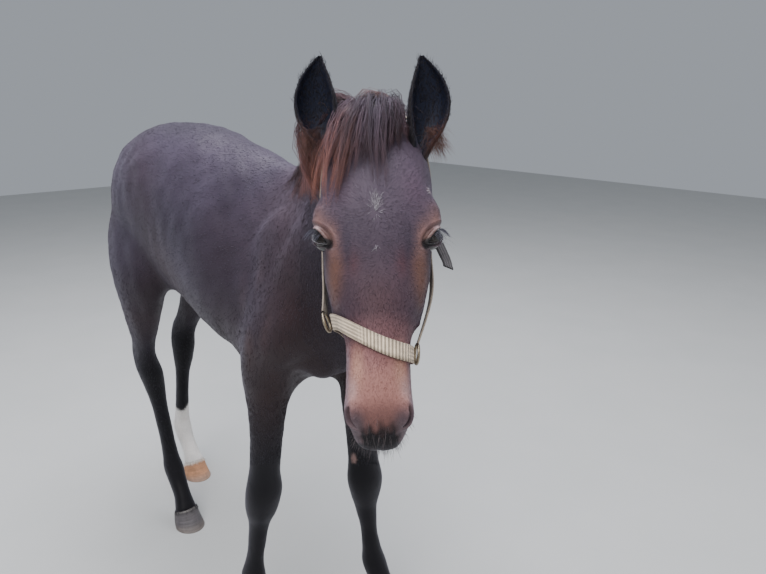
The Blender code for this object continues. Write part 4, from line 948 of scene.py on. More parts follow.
def lie_of_coat(points, normals):
    """The way the hair points at each place, along the skin."""
    heads = to_head(points)
    x, y, out = heads.T
    z = points[:, 2]
    px = points[:, 0]
    back = np.array((-1.0, 0, -0.30))
    down = np.array((-0.15, 0, -1.0))
    fore = ramp(px, -0.02, 0.16)
    rump = ramp(-px, 0.66, 0.80)
    way = back + (down - back) * np.maximum(fore, rump)[:, None]
    neck = np.array((-0.60, 0.26, -0.72))
    way = way + (neck - way) * (ramp(px, 0.22, 0.34) * ramp(z, 0.86, 0.98))[:, None]
    way = way + (np.array((0, 0, -1.0)) - way) * ramp(-z, -0.96, -0.80)[:, None]
    apart = np.c_[x - WHORL[0], (y - WHORL[1]) * 1.5, 0 * x]
    open_share = ramp(np.linalg.norm(apart, axis=1), 0.002, 0.012)[:, None]
    whorl = unit(apart + 1e-5) * open_share + np.array((-1.0, 0.2, 0)) * (1 - open_share)
    fan = np.c_[0 * x + 0.22, np.clip(y / 0.010, -1, 1), 0 * x]
    flow = whorl + (fan - whorl) * ramp(x, 0.172, 0.200)[:, None]
    flow = flow + (np.array((1.0, 0, 0)) - flow) * ramp(x, 0.235, 0.300)[:, None]
    side = np.c_[0 * x - 0.35, 0 * x, 0 * x - 0.95]
    flow = flow + (side - flow) * (ramp(-out, 0.050, 0.095) * ramp(-x, -0.33, -0.27))[:, None]
    muzzle = np.c_[0 * x + 0.8, y * 12, 0 * x - 0.2]
    flow = flow + (muzzle - flow) * ramp(x, 0.40, 0.45)[:, None]
    flow = flow @ HEAD_TURNED.T
    near = (ramp(x, -0.02, 0.03) * (px > HEAD_AHEAD))[:, None]
    way = way + (flow - way) * near
    way = way - normals * (way * normals).sum(axis=1, keepdims=True)
    return unit(way + 1e-9)


def turned(ways, normals, angles):
    """Ways along the skin, turned by angles round its normals."""
    other = np.cross(normals, ways)
    return ways * np.cos(angles)[:, None] + other * np.sin(angles)[:, None]


def triangles_of(mesh):
    mesh.calc_loop_triangles()
    tri = np.zeros(len(mesh.loop_triangles) * 3, np.int32)
    mesh.loop_triangles.foreach_get("vertices", tri)
    return tri.reshape(-1, 3)


def scattered(points, normals, tri, weights, count, dice):
    """Random places on a mesh and the normals there."""
    corners = points[tri]
    area = np.linalg.norm(np.cross(corners[:, 1] - corners[:, 0], corners[:, 2] - corners[:, 0]), axis=1)
    odds = np.cumsum(area * weights)
    pick = np.searchsorted(odds, dice.uniform(0, odds[-1], count))
    u, v = dice.uniform(size=(2, count))
    flip = u + v > 1
    u, v = np.where(flip, 1 - u, u), np.where(flip, 1 - v, v)
    share = np.stack([1 - u - v, u, v], axis=1)[:, :, None]
    return (corners[pick] * share).sum(axis=1), unit((normals[tri[pick]] * share).sum(axis=1))


TUFT_FACES = np.array(
    [(0, 4, 1), (1, 4, 3), (0, 2, 4), (2, 5, 4), (4, 5, 3), (0, 1, 3), (0, 3, 2), (2, 3, 5)], np.int32
)


def laid(tree, points, height):
    """Points moved to a height over the nearest skin."""
    found = np.empty_like(points)
    for i, point in enumerate(points):
        spot, normal, _, _ = tree.find_nearest(point)
        found[i] = spot + normal * height[i]
    return found


def tuft_mesh(name, tree, places, normals, ways, length, width, lift, tint, root_uv):
    """Thin closed tufts of eight triangles, lying along the skin."""
    count = len(places)
    side = np.cross(normals, ways)
    length, width, lift = (np.broadcast_to(v, count)[:, None] for v in (length, width, lift))
    sink = normals * 0.0009
    middle = laid(tree, places + ways * length * 0.5, lift[:, 0])
    tip = laid(tree, places + ways * length, lift[:, 0] * 0.75)
    ridge = middle + normals * width * 0.16
    rows = [
        places - sink - side * width * 0.30,
        places - sink + side * width * 0.30,
        middle - side * width * 0.5,
        middle + side * width * 0.5,
        ridge,
        tip,
    ]
    points = np.stack(rows, axis=1).reshape(-1, 3)
    faces = (TUFT_FACES[None] + 6 * np.arange(count)[:, None, None]).reshape(-1, 3)
    shade = DICE.uniform(0.90, 1.12, (count, 1))
    warm = 1 + DICE.uniform(-0.06, 0.08, (count, 1)) * np.array((1.0, 0.2, -0.6))
    base = tint * shade * warm
    tones = np.array((0.92, 0.92, 0.99, 0.99, 1.01, 1.06))
    colours = (base[:, None] * tones[None, :, None]).reshape(-1, 3)
    patch = np.array(((0, 0), (1, 0), (0, 0.5), (1, 0.5), (0.5, 0.55), (0.5, 1))) * 0.003
    uv = (np.clip(root_uv, 0, 0.996)[:, None] + patch[None]).reshape(-1, 2)
    return mesh_object(name, points, faces, colours, uv)


def strand_mesh(name, paths, radii, tint, tip_tint, uv_roots=None, flat=1.0, sides=3):
    """Tapered closed strands along paths given as an array of strand, point and coordinate."""
    count, steps, _ = paths.shape
    radii = np.broadcast_to(radii, count)
    if uv_roots is None:
        uv_roots = DICE.uniform(size=(count, 2))
    along = unit(np.gradient(paths, axis=1))
    other = unit(np.cross(along, np.array((0.31, -0.52, 0.79))))
    third = np.cross(along, other)
    turns = circle(sides)
    t = np.linspace(0, 1, steps)
    taper = np.clip(1.0 - t**2.2, 0.06, 1) * np.clip(0.55 + 3 * t, 0, 1)
    size = (radii[:, None] * taper[None])[:, :, None, None]
    ringed = other[:, :, None] * np.cos(turns)[:, None] + flat * third[:, :, None] * np.sin(turns)[:, None]
    points = (paths[:, :, None] + ringed * size).reshape(-1, 3)
    one = []
    for i in range(steps - 1):
        for k in range(sides):
            a, b = i * sides + k, i * sides + (k + 1) % sides
            one += [(a, b, b + sides), (a, b + sides, a + sides)]
    last = (steps - 1) * sides
    for k in range(1, sides - 1):
        one += [(0, k + 1, k), (last, last + k, last + k + 1)]
    one = np.array(one, np.int32)
    faces = (one[None] + steps * sides * np.arange(count)[:, None, None]).reshape(-1, 3)
    mix = (t**1.6)[None, :, None]
    colours = tint[:, None] * (1 - mix) + tip_tint[:, None] * mix
    colours = np.repeat(colours[:, :, None], sides, axis=2).reshape(-1, 3)
    patch = np.stack(np.meshgrid(t, np.arange(sides) / max(sides - 1, 1), indexing="ij"), axis=-1) * 0.003
    uv = np.clip(uv_roots, 0, 0.996)[:, None, None] + patch[None]
    return mesh_object(name, points, faces, colours, uv.reshape(-1, 2))


def add(tree, kind, inputs=None, **settings):
    """A shader node, with its settings and its inputs as values or sockets."""
    node = tree.nodes.new("ShaderNode" + kind)
    for key, value in settings.items():
        setattr(node, key, value)
    for key, value in (inputs or {}).items():
        if isinstance(value, bpy.types.NodeSocket):
            tree.links.new(value, node.inputs[key])
        else:
            node.inputs[key].default_value = value
    return node


def blank(name, **sockets):
    """A new material, its tree, shader and object places. Uniform numbers go on the shader's own sockets."""
    material = bpy.data.materials.new(name)
    material.use_nodes = True
    tree = material.node_tree
    shader = tree.nodes["Principled BSDF"]
    for key, value in sockets.items():
        shader.inputs[key.replace("_", " ")].default_value = value
    return material, tree, shader, add(tree, "TexCoord").outputs["Object"]


def attribute(tree, name):
    """What the points say under a name, as a colour."""
    return add(tree, "Attribute", attribute_name=name, attribute_type="GEOMETRY").outputs["Color"]


def stretched(tree, vector, scale):
    return add(tree, "Mapping", {"Vector": vector, "Scale": scale}).outputs["Vector"]


def two_tones(tree, factor, first, second):
    """One colour that goes over into another."""
    return add(tree, "Mix", {0: factor, 6: first, 7: second}, data_type="RGBA").outputs[2]


def noise(tree, vector, scale, detail=3.0, roughness=0.55):
    values = {"Vector": vector, "Scale": scale, "Detail": detail, "Roughness": roughness}
    return add(tree, "TexNoise", values).outputs["Fac"]


def fitted(tree, value, low, high):
    """A 0 to 1 value carried to a range."""
    values = {"Value": value, "From Min": 0.25, "From Max": 0.75, "To Min": low, "To Max": high}
    return add(tree, "MapRange", values).outputs["Result"]


def times(tree, colour, factor):
    """A colour made lighter or darker by a factor."""
    node = add(tree, "VectorMath", {0: colour}, operation="SCALE")
    tree.links.new(factor, node.inputs["Scale"])
    return node.outputs["Vector"]


def bumped(tree, shader, height, distance, strength=0.6):
    node = add(tree, "Bump", {"Height": height, "Distance": distance, "Strength": strength})
    tree.links.new(node.outputs["Normal"], shader.inputs["Normal"])


def painted(tree, shader, tone, roughness):
    tree.links.new(tone, shader.inputs["Base Color"])
    tree.links.new(roughness, shader.inputs["Roughness"])


def skin_material():
    """Short hair that lies flat: fine streaks along the lie, over the coat's colours."""
    material, tree, shader, place = blank(
        "coat", Sheen_Weight=0.12, Sheen_Roughness=0.45, Sheen_Tint=SHEEN_TINT, Specular_IOR_Level=0.18
    )
    parts = add(tree, "SeparateColor", {"Color": attribute(tree, "parts")})
    head_angles = HEAD_FRAME.to_3x3().inverted().to_euler()
    streaks = []
    for angles, scale in (
        ((0, math.radians(18), 0), (90, 520, 520)),
        (tuple(head_angles), (190, 760, 760)),
        ((0, 0, 0), (640, 640, 110)),
        (tuple(head_angles), (900, 170, 900)),
    ):
        turned_place = add(tree, "Mapping", {"Vector": place, "Rotation": angles}).outputs["Vector"]
        streaks.append(noise(tree, stretched(tree, turned_place, scale), 1.0, 4.0, 0.65))
    streak = streaks[0]
    for other, share in ((streaks[1], "Red"), (streaks[2], "Green"), (streaks[3], "Blue")):
        values = {0: parts.outputs[share], 2: streak, 3: other}
        streak = add(tree, "Mix", values, data_type="FLOAT").outputs[0]
    broad = noise(tree, place, 14.0, 4.0)
    tint = attribute(tree, "tint")
    tone = times(tree, times(tree, tint, fitted(tree, streak, 0.82, 1.20)), fitted(tree, broad, 0.86, 1.14))
    painted(tree, shader, tone, fitted(tree, streak, 0.56, 0.40))
    bumped(tree, shader, streak, 0.0007)
    return material


def hair_material(name, roughness, scale, contrast=0.29):
    """Hair whose colour is in its points, with fine lighter and darker hairs."""
    material, tree, shader, place = blank(
        name, Sheen_Weight=0.10, Sheen_Roughness=0.4, Sheen_Tint=SHEEN_TINT, Specular_IOR_Level=0.20
    )
    fine = noise(tree, place, scale, 3.0)
    tone = times(tree, attribute(tree, "tint"), fitted(tree, fine, 1 - contrast, 1 + contrast))
    painted(tree, shader, tone, fitted(tree, fine, roughness + 0.08, roughness - 0.08))
    return material


def eye_material():
    """A wet dark eye with fine rays over the colours of its points."""
    material, tree, shader, place = blank(
        "eye", Coat_Weight=0.6, Coat_Roughness=0.02, Specular_IOR_Level=0.35
    )
    rays = noise(tree, place, 900.0, 2.0)
    tone = times(tree, attribute(tree, "tint"), fitted(tree, rays, 0.6, 1.5))
    painted(tree, shader, tone, fitted(tree, rays, 0.04, 0.08))
    return material


def lid_material():
    """Fine-grained dark skin, moist where it meets the eyeball."""
    material, tree, shader, place = blank("lid_skin", Specular_IOR_Level=0.5)
    grain = noise(tree, place, 1400.0, 3.0)
    tone = times(tree, attribute(tree, "tint"), fitted(tree, grain, 0.65, 1.35))
    tree.links.new(tone, shader.inputs["Base Color"])
    wet = add(tree, "SeparateColor", {"Color": attribute(tree, "wet")}).outputs["Red"]
    values = {"Value": wet, "To Min": 0.55, "To Max": 0.18}
    tree.links.new(add(tree, "MapRange", values).outputs["Result"], shader.inputs["Roughness"])
    bumped(tree, shader, grain, 0.0004)
    return material


def horn_material():
    """Hoof horn: growth rings round it, fine fibres down it, and dirt."""
    material, tree, shader, place = blank("horn", Specular_IOR_Level=0.45)
    weave = add(tree, "UVMap", uv_map="weave").outputs["UV"]
    rings = noise(tree, stretched(tree, weave, (0.6, 26, 1)), 1.0, 3.0)
    fibres = noise(tree, stretched(tree, weave, (170, 3, 1)), 1.0, 2.0)
    dirt = noise(tree, place, 60.0, 4.0)
    tone = times(tree, attribute(tree, "tint"), fitted(tree, rings, 0.72, 1.30))
    tone = times(tree, times(tree, tone, fitted(tree, fibres, 0.84, 1.16)), fitted(tree, dirt, 0.75, 1.15))
    painted(tree, shader, tone, fitted(tree, dirt, 0.42, 0.68))
    both = add(tree, "Math", {0: rings, 1: fibres}, operation="ADD").outputs[0]
    bumped(tree, shader, both, 0.0010)
    return material


def webbing_material():
    """Woven strap: rows along it, strong cross ribs over the nose, pale and worn, with darker edges. Its
    colour is darker in the weave's grooves and lighter on its ribs: painted shade and painted highlight.
    """
    material, tree, shader, place = blank(
        "webbing", Sheen_Weight=0.2, Sheen_Roughness=0.5, Specular_IOR_Level=0.3
    )
    weave = add(tree, "UVMap", uv_map="weave").outputs["UV"]
    parts = add(tree, "SeparateXYZ", {"Vector": weave})
    along, across = parts.outputs["X"], parts.outputs["Y"]

    def wave(value, pitch):
        turn = add(tree, "Math", {0: value, 1: 2 * math.pi / pitch}, operation="MULTIPLY").outputs[0]
        return add(tree, "Math", {0: turn}, operation="SINE").outputs[0]

    ribs = wave(along, 0.0052)
    threads = wave(along, 0.0021)
    rows = wave(across, 0.0050)
    fancy = add(tree, "SeparateColor", {"Color": attribute(tree, "ribs_and_painted_shade")}).outputs["Red"]
    weft = add(tree, "Math", {0: threads, 1: rows}, operation="MULTIPLY").outputs[0]
    weft = add(tree, "Mix", {0: 0.40, 2: rows, 3: weft}, data_type="FLOAT").outputs[0]
    height = add(tree, "Mix", {0: fancy, 2: weft, 3: ribs}, data_type="FLOAT").outputs[0]
    stain = noise(tree, place, 90.0, 5.0)
    fibre = noise(tree, place, 1500.0, 2.0)
    # The weave's height also sets its colour: painted shade in the grooves and painted highlight on the ribs,
    # strongest where the cross ribs show.
    values = {"Value": height, "From Min": -1.0, "To Min": 0.36, "To Max": 1.25}
    lit = add(tree, "MapRange", values).outputs[0]
    tone = times(tree, attribute(tree, "tint"), lit)
    tone = times(tree, times(tree, tone, fitted(tree, stain, 0.72, 1.18)), fitted(tree, fibre, 0.85, 1.15))
    painted(tree, shader, tone, fitted(tree, stain, 0.92, 0.70))
    relief = add(tree, "Math", {0: fibre, 1: height}, operation="ADD").outputs[0]
    bumped(tree, shader, relief, 0.0009, 0.7)
    return material


def metal_material():
    """Dull worn metal with fine scratches."""
    material, tree, shader, place = blank("ring_metal", Metallic=1.0)
    scratch = noise(tree, place, 700.0, 5.0, 0.7)
    dull = noise(tree, place, 120.0, 3.0)
    tone = two_tones(tree, fitted(tree, dull, 0.0, 1.0), (0.42, 0.36, 0.26, 1), (0.20, 0.16, 0.12, 1))
    painted(tree, shader, tone, fitted(tree, scratch, 0.28, 0.52))
    bumped(tree, shader, scratch, 0.0002)
    return material


def clothed(obj, material, slot, *nodes):
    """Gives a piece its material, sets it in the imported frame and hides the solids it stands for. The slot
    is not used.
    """
    obj.data.materials.clear()
    obj.data.materials.append(material)
    obj.data.transform(Matrix.Translation(SHIFT))
    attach(obj, "root")
    if nodes:
        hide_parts(*nodes)
    return obj


SHIFT = shift_to_pack()
DICE = np.random.default_rng(21)


def skin_and_eyes():
    """The one skin of the whole body, a little inside the solids, with its eye seats and surfaces."""
    body = base_body()
    points = vertex_array(body.data)
    split_finer(body, (to_head(points)[:, 0] > -0.03) & (points[:, 0] > HEAD_AHEAD))
    whole = surface_of(body)
    eyes = [eye_seat(whole, side) for side in (1, -1)]
    points = vertex_array(body.data)
    fine = to_head(points)[:, 0] > 0.385
    for eye in eyes:
        fine |= np.linalg.norm(points - eye[0], axis=1) < 0.048
    split_finer(body, fine & (points[:, 0] > HEAD_AHEAD))
    points = vertex_array(body.data)
    heads = to_head(points)
    near = (heads[:, 0] > -0.03) & (points[:, 0] > HEAD_AHEAD)
    edges = edge_array(body.data)
    points = smoothed(points, edges, 0.5 * near, 5)
    put_vertices(body.data, points)
    outer = surface_of(body)
    normals = vertex_array(body.data, "normal")
    face = ramp(heads[:, 0], -0.02, 0.05) * (points[:, 0] > HEAD_AHEAD)
    low = ramp(-points[:, 2], -0.70, -0.55)
    depth = 0.0017 - 0.0009 * face - 0.0006 * low
    points = sculpted(points - normals * depth[:, None], normals, eyes, outer)
    points = smoothed(points, edges, 0.25 * near, 1)
    for _, rows, fetlock, stride, side in leg_table():
        points = under_hoof(points, *coronet_frame(rows, fetlock, stride, side))
    put_vertices(body.data, points)
    smooth_shaded(body.data)
    # The skin's colour is taken down to 0.88 of the coat's as painted shade between the tufts.
    put_tint(body.data, round_the_eyes(points, markings(points), eyes) * 0.88)
    parts = np.zeros_like(points)
    parts[:, 0] = face
    parts[:, 1] = ramp(-points[:, 2], -0.80, -0.66)
    parts[:, 2] = face * ramp(heads[:, 0], 0.09, 0.12) * ramp(-heads[:, 0], -0.280, -0.235)
    parts[:, 2] *= ramp(heads[:, 2], -0.015, 0.005)
    put_tint(body.data, parts, "parts")
    return body, eyes, outer


def under_hoof(points, centre, slope):
    """Draws what lies under a coronet in, so that it stays inside the hoof."""
    centre = np.array(centre)
    lean = unit(np.array(slope))
    down = np.cross(lean, np.array((0, 1.0, 0)))
    down = -down if down[2] > 0 else down
    away = points - centre
    below = away @ down
    near = (np.linalg.norm(away, axis=1) < 0.09) & (below > -0.004)
    share = 1 - 0.30 * ramp(below, -0.002, 0.006)
    pulled = centre + down * below[:, None] + (away - down * below[:, None]) * share[:, None]
    return np.where(near[:, None], pulled, points)


def eyeball(eye, name):
    """A finely divided eyeball with a bulging cornea, a wide dark pupil and a brown iris."""
    centre, look, long, _ = eye
    bm = bmesh.new()
    bmesh.ops.create_uvsphere(bm, u_segments=72, v_segments=48, radius=1)
    obj = object_of("eye_ball_" + name, bm)
    ball = vertex_array(obj.data)
    s, t, depth = ball.T
    bulge = 0.0011 * np.exp(-((s / 0.62) ** 2 + (t / 0.55) ** 2)) * (depth > 0)
    frame_rows = np.array([long, np.cross(look, long), look])
    put_vertices(obj.data, centre + (ball * (EYE_RADIUS * 0.965 + bulge)[:, None]) @ frame_rows)
    pupil = ramp(-np.hypot(s / 0.42, t / 0.17), -1.10, -0.90) * (depth > 0)
    iris = ramp(-np.hypot(s / 0.74, t / 0.64), -1.06, -0.96) * (depth > 0)
    tint = np.tile(np.array((0.0110, 0.0090, 0.0090)), (len(ball), 1))
    tint = mixed(tint, (0.0120, 0.0070, 0.0050), iris)
    tint = mixed(tint, (0.0020, 0.0020, 0.0030), pupil)
    put_tint(obj.data, tint)
    smooth_shaded(obj.data)
    return obj


def lids(eye, name):
    """The rims of the lids: a moist dark edge on the eyeball that rolls out into the skin."""
    centre, look, long, short = eye
    columns = 144
    turn = circle(columns)
    upper = ramp(np.sin(turn), -0.05, 0.30)
    points, tint, wet = [], [], []
    for reach, over, under in LID_RINGS:
        height = np.where(np.sin(turn) > 0, LID_HEIGHT, LOWER_LID * LID_HEIGHT)
        s = LID_LENGTH * np.cos(turn)
        t = height * np.sign(np.sin(turn)) * np.abs(np.sin(turn)) ** 1.29
        lateral = np.hypot(s, t)
        angle = np.arcsin(np.clip(lateral / EYE_RADIUS, 0, 0.999)) * min(reach, 1.0)
        angle = angle + max(reach - 1, 0) * lateral / EYE_RADIUS
        way = (s / lateral)[:, None] * long + (t / lateral)[:, None] * short
        lifted_by = under + (over - under) * upper
        radius = EYE_RADIUS + lifted_by + 0.00025 * np.sin(turn * 23 + reach * 9)
        spot = centre + (look * np.cos(angle)[:, None] + way * np.sin(angle)[:, None]) * radius[:, None]
        points.append(spot)
        base = round_the_eyes(spot, markings(spot), [eye])
        base = mixed(base, FOLD_PINK, 0.30 * upper * float(ramp(reach, 1.08, 1.20)) * ramp(-s, -0.002, 0.010))
        dark = 1 - float(ramp(reach, 1.02, 1.09))
        base = mixed(base, (0.011, 0.010, 0.012), np.full(columns, dark))
        # A pale line along the middle of the lower lid's wet rim: a painted highlight.
        middle = ramp(-np.abs(s - 0.001), -0.0150, -0.0100)
        waterline_highlight = math.exp(-(((reach - 0.985) / 0.03) ** 2)) * (1 - upper) * middle
        base = mixed(base, (0.10, 0.08, 0.09), 0.5 * waterline_highlight)
        tint.append(base)
        wet.append(np.full((columns, 3), 1 - float(ramp(reach, 1.0, 1.12))))
    faces = grid_faces(len(LID_RINGS), columns, True)
    obj = mesh_object("lid_rims_" + name, np.vstack(points), faces, np.vstack(tint))
    put_tint(obj.data, np.vstack(wet), "wet")
    return obj


def shaded(colour, low, high, count):
    """A colour a hair, each darker or lighter by chance."""
    return np.asarray(colour) * DICE.uniform(low, high, (count, 1))


def curved(starts, ways, bends, lengths, steps):
    """Paths that start somewhere, head one way and bend another."""
    t = np.linspace(0, 1, steps)[None, :, None]
    return starts[:, None] + (ways[:, None] * t + bends[:, None] * t**2) * lengths[:, None, None]


def lashes(eyes):
    """Short upper lashes that stand out and droop, and a few thin feelers round the eyes."""
    paths, radii = [], []
    for eye in eyes:
        centre, look, long, short = eye
        for count, low, high, length, thick, down in LASHES:
            turn = np.radians(DICE.uniform(low, high, count))
            s = LID_LENGTH * np.cos(turn) * 1.04
            t = np.where(np.sin(turn) > 0, LID_HEIGHT, LOWER_LID * LID_HEIGHT) * np.sin(turn) * 1.06
            depth = np.sqrt(np.maximum((EYE_RADIUS + 0.003) ** 2 - s**2 - t**2, 0.00002))
            start = centre + s[:, None] * long + t[:, None] * short + depth[:, None] * look
            way = look * 0.70 + (s / 0.02)[:, None] * long * 0.5
            way = way + (t / 0.02)[:, None] * short * 0.15 - long * 0.15
            way = unit(way + DICE.normal(0, 0.09, (count, 3)))
            droop = np.tile(short * down - np.array((0, 0, 0.40)), (count, 1))
            paths.append(curved(start, way, droop, length * DICE.uniform(0.7, 1.15, count), 6))
            radii.append(np.full(count, thick))
    paths, radii = np.concatenate(paths), np.concatenate(radii)
    tint = shaded((0.026, 0.025, 0.033), 0.5, 2.0, len(paths))
    return strand_mesh("lashes", paths, radii, tint, tint * 5)


def ear_shell(side, name):
    """A finely divided cup of an ear, open to the front, and its axes."""
    turn = HEAD_FRAME.to_3x3()
    base = HEAD_FRAME @ Vector((0.050, side * 0.062 - 0.003, -0.010))
    up = (turn @ Vector((-0.86, side * 0.04 - 0.035, 0.50))).normalized()
    front = turn @ Vector((0.50, side * 0.10, 0.86))
    front = (front - up * front.dot(up)).normalized()
    out = up.cross(front) * side
    if out.dot(turn @ Vector((0, side, 0))) < 0:
        out.negate()
    base, up, front, out = (np.array(v) for v in (base, up, front, out))
    rows = between(EAR, 4)
    half = 22
    points, inside, height_of = [], [], []
    for height, width, sway, start, thickness in rows:
        half_width = width * EAR_WIDTH / 2
        depth = half_width * 0.80
        middle = base + up * (height * EAR_LENGTH) + out * (sway * EAR_WIDTH)
        a = np.radians(start + (360 - 2 * start) * np.arange(half + 1) / half)
        thin = max(1 - max(thickness * 0.8, 0.0016) / half_width, 0.02)
        rib = 1 + 0.010 * np.sin(a * 9)
        outer = middle + np.outer(half_width * np.sin(a), out) + np.outer(depth * np.cos(a), front)
        inner = (
            middle
            + np.outer(half_width * thin * rib * np.sin(a), out)
            + np.outer(depth * (thin * rib * np.cos(a) + 0.05 * (1 - thin)), front)
        )
        points.append(np.vstack([outer, inner[::-1]]))
        inside.append(np.r_[np.zeros(half + 1), np.ones(half + 1)])
        height_of.append(np.full(2 * half + 2, height))
    count = 2 * half + 2
    faces = grid_faces(len(rows), count, True)
    points, inside, height_of = np.vstack(points), np.concatenate(inside), np.concatenate(height_of)
    outward_share = ((points - base) @ out) / 0.03
    tint = np.tile(EAR_DARK, (len(points), 1))
    tint = mixed(tint, (0.014, 0.017, 0.034), inside)
    rust = (1 - inside) * ramp(outward_share, 0.1, 1.3) * ramp(-height_of, -0.45, -0.05)
    tint = mixed(tint, (0.11, 0.045, 0.035), 0.8 * rust)
    obj = mesh_object("ear_cup_" + name, points, faces[:, ::-1] if side > 0 else faces, tint)
    face_outward(obj)
    return obj, (base, up, front, out), points.reshape(len(rows), count, 3)


def ear_hair(shells):
    """Down on the backs of the ears, a fringe round their rims and longer hair inside."""
    paths, radii, tint, tip = [], [], [], []
    for side, (_, axes, grid) in zip((1, -1), shells):
        base, up, front, out = axes
        half = grid.shape[1] // 2
        rims = np.concatenate([grid[6:-1, 0], grid[6:-1, half - 1]])
        sign = np.r_[np.ones(len(rims) // 2), -np.ones(len(rims) // 2)] * side
        for count, length, spread in ((420, 0.0042, 0.22), (90, 0.0075, 0.35)):
            pick = DICE.integers(0, len(rims), count)
            start = rims[pick] + DICE.normal(0, 0.0016, (count, 3)) - front * 0.001
            inward = -sign[pick][:, None] * np.cross(up, front) * DICE.uniform(-0.2, 0.8, (count, 1))
            way = unit(up * 0.9 + inward + front * 0.25 + DICE.normal(0, spread, (count, 3)))
            rise = np.tile(up * 0.3, (count, 1))
            paths.append(curved(start, way, rise, length * DICE.uniform(0.5, 1.2, count), 5))
            radii.append(np.full(count, 0.00022))
            tint.append(np.tile(np.array((0.014, 0.012, 0.015)), (count, 1)))
            tip.append(np.tile(np.array((0.045, 0.034, 0.036)), (count, 1)))
        count = 320
        start = base + up * DICE.uniform(0.0, 0.028, (count, 1))
        start = start + out * DICE.uniform(0.012, 0.036, (count, 1))
        start = start + front * DICE.uniform(-0.004, 0.014, (count, 1))
        way = unit(-up * 0.25 + out * DICE.uniform(0.2, 1.0, (count, 1)) + DICE.normal(0, 0.35, (count, 3)))
        paths.append(curved(start, way, np.tile(-up * 0.7, (count, 1)), DICE.uniform(0.012, 0.026, count), 5))
        radii.append(np.full(count, 0.00024))
        tint.append(np.tile(np.array((0.07, 0.035, 0.028)), (count, 1)))
        tip.append(np.tile(np.array((0.20, 0.085, 0.055)), (count, 1)))
    paths = np.concatenate(paths)
    return strand_mesh("ear_hair", paths, np.concatenate(radii), np.vstack(tint), np.vstack(tip))


def shell_tufts(name, obj, way, count, length, width, tint_of):
    """Tufts over a small closed piece, all heading much the same way."""
    points, normals = vertex_array(obj.data), vertex_array(obj.data, "normal")
    tri = triangles_of(obj.data)
    places, up = scattered(points, normals, tri, 1.0, count, DICE)
    ways = way - up * (up @ way)[:, None]
    ways = turned(unit(ways + 1e-9), up, DICE.normal(0, 0.30, count))
    tree = surface_of(obj)
    return tuft_mesh(
        name, tree, places, up, ways, length * DICE.uniform(0.7, 1.2, count), width, 0.0007, tint_of(places),
        DICE.uniform(size=(count, 2))
    )


def hoof_mesh(name, rows, fetlock, stride, side):
    """A hoof with growth rings, from its slanted coronet to a flat sole."""
    centre, slope = coronet_frame(rows, fetlock, stride, side)
    lean = slope.normalized()
    top = np.array(centre - Vector((0, 1, 0)).cross(lean) * -0.0003)
    lean = np.array(lean)
    downs = np.r_[0.0, 0.0, 0.012, np.linspace(0.03, 0.985, 26), 1.0, 1.0]
    scales = np.r_[0.05, 0.955, 0.985, np.ones(26), 0.985, 0.05]
    count = 96
    turn = circle(count)
    run = np.where(np.cos(turn) > 0, np.cos(turn), np.cos(turn) * HEEL_BLUNT)
    points, weave, tint = [], [], []
    horn, coronet, worn = PALE_HORN if name == "hind_left" else DARK_HORN
    for down, scale in zip(downs, scales):
        half_length, half_width, ahead = (np.interp(down, HOOF[:, 0], HOOF[:, k]) for k in (1, 2, 3))
        groove = 0.0005 * math.sin(down * 46) + 0.0003 * math.sin(down * 83 + 1)
        grow = scale * (1 + groove / 0.045 * (0.05 < down < 0.97))
        high = top + np.outer(half_length * run * grow, lean)
        high = high + np.outer(half_width * np.sin(turn) * grow, (0, 1, 0))
        floor = np.c_[top[0] + ahead * 1.2 + half_length * run * grow, high[:, 1], np.zeros(count)]
        points.append(high + (floor - high) * down)
        weave.append(np.c_[turn / FULL_TURN, np.full(count, down)])
        base = mixed(np.tile(horn, (count, 1)), coronet, np.full(count, 0.9 * (down < 0.10)))
        tint.append(mixed(base, worn, np.full(count, 0.7 * float(ramp(down, 0.6, 1)))))
    faces = grid_faces(len(downs), count, True)
    obj = mesh_object("horn_" + name, np.vstack(points), faces, np.vstack(tint), weave=np.vstack(weave))
    face_outward(obj)
    return obj


def band_place(angle):
    """How far along the face the noseband lies, at an angle round it from the top of the nose."""
    across, out = math.sin(angle), math.cos(angle)
    return NOSEBAND_PLACE + NOSEBAND_SLANT * across + NOSEBAND_TILT * out - NOSEBAND_DROP * across * across


def band_mesh(name, inner, outs, sides, width, closed, tint, fancy):
    """A strap with rolled edges along a line of its inner face: places, ways out and ways across."""
    steps = len(inner)
    gaps = np.linalg.norm(np.diff(np.vstack([inner, inner[:1]]), axis=0), axis=1)
    along = np.r_[0, np.cumsum(gaps)[:-1]]
    points, weave, tones, ribs_and_painted_shade = [], [], [], []
    for i in range(steps):
        for across, high in SECTION:
            points.append(inner[i] + sides[i] * across * width + outs[i] * high * STRAP_THICKNESS)
            weave.append((along[i], across * width))
            edge = abs(across) > 0.44
            tones.append(tint * (0.62 if edge else 1.0))
            # The share of cross ribs here, which also sets the weave's painted shade and painted highlight.
            ribs_and_painted_shade.append((fancy[i], 0, 0))
    count = len(SECTION)
    faces = grid_faces(steps, count, True)
    if closed:
        faces = closed_round(faces, steps, count)
    obj = mesh_object(name, np.array(points), faces, np.array(tones), weave=np.array(weave))
    put_tint(obj.data, np.array(ribs_and_painted_shade), "ribs_and_painted_shade")
    face_outward(obj)
    return obj


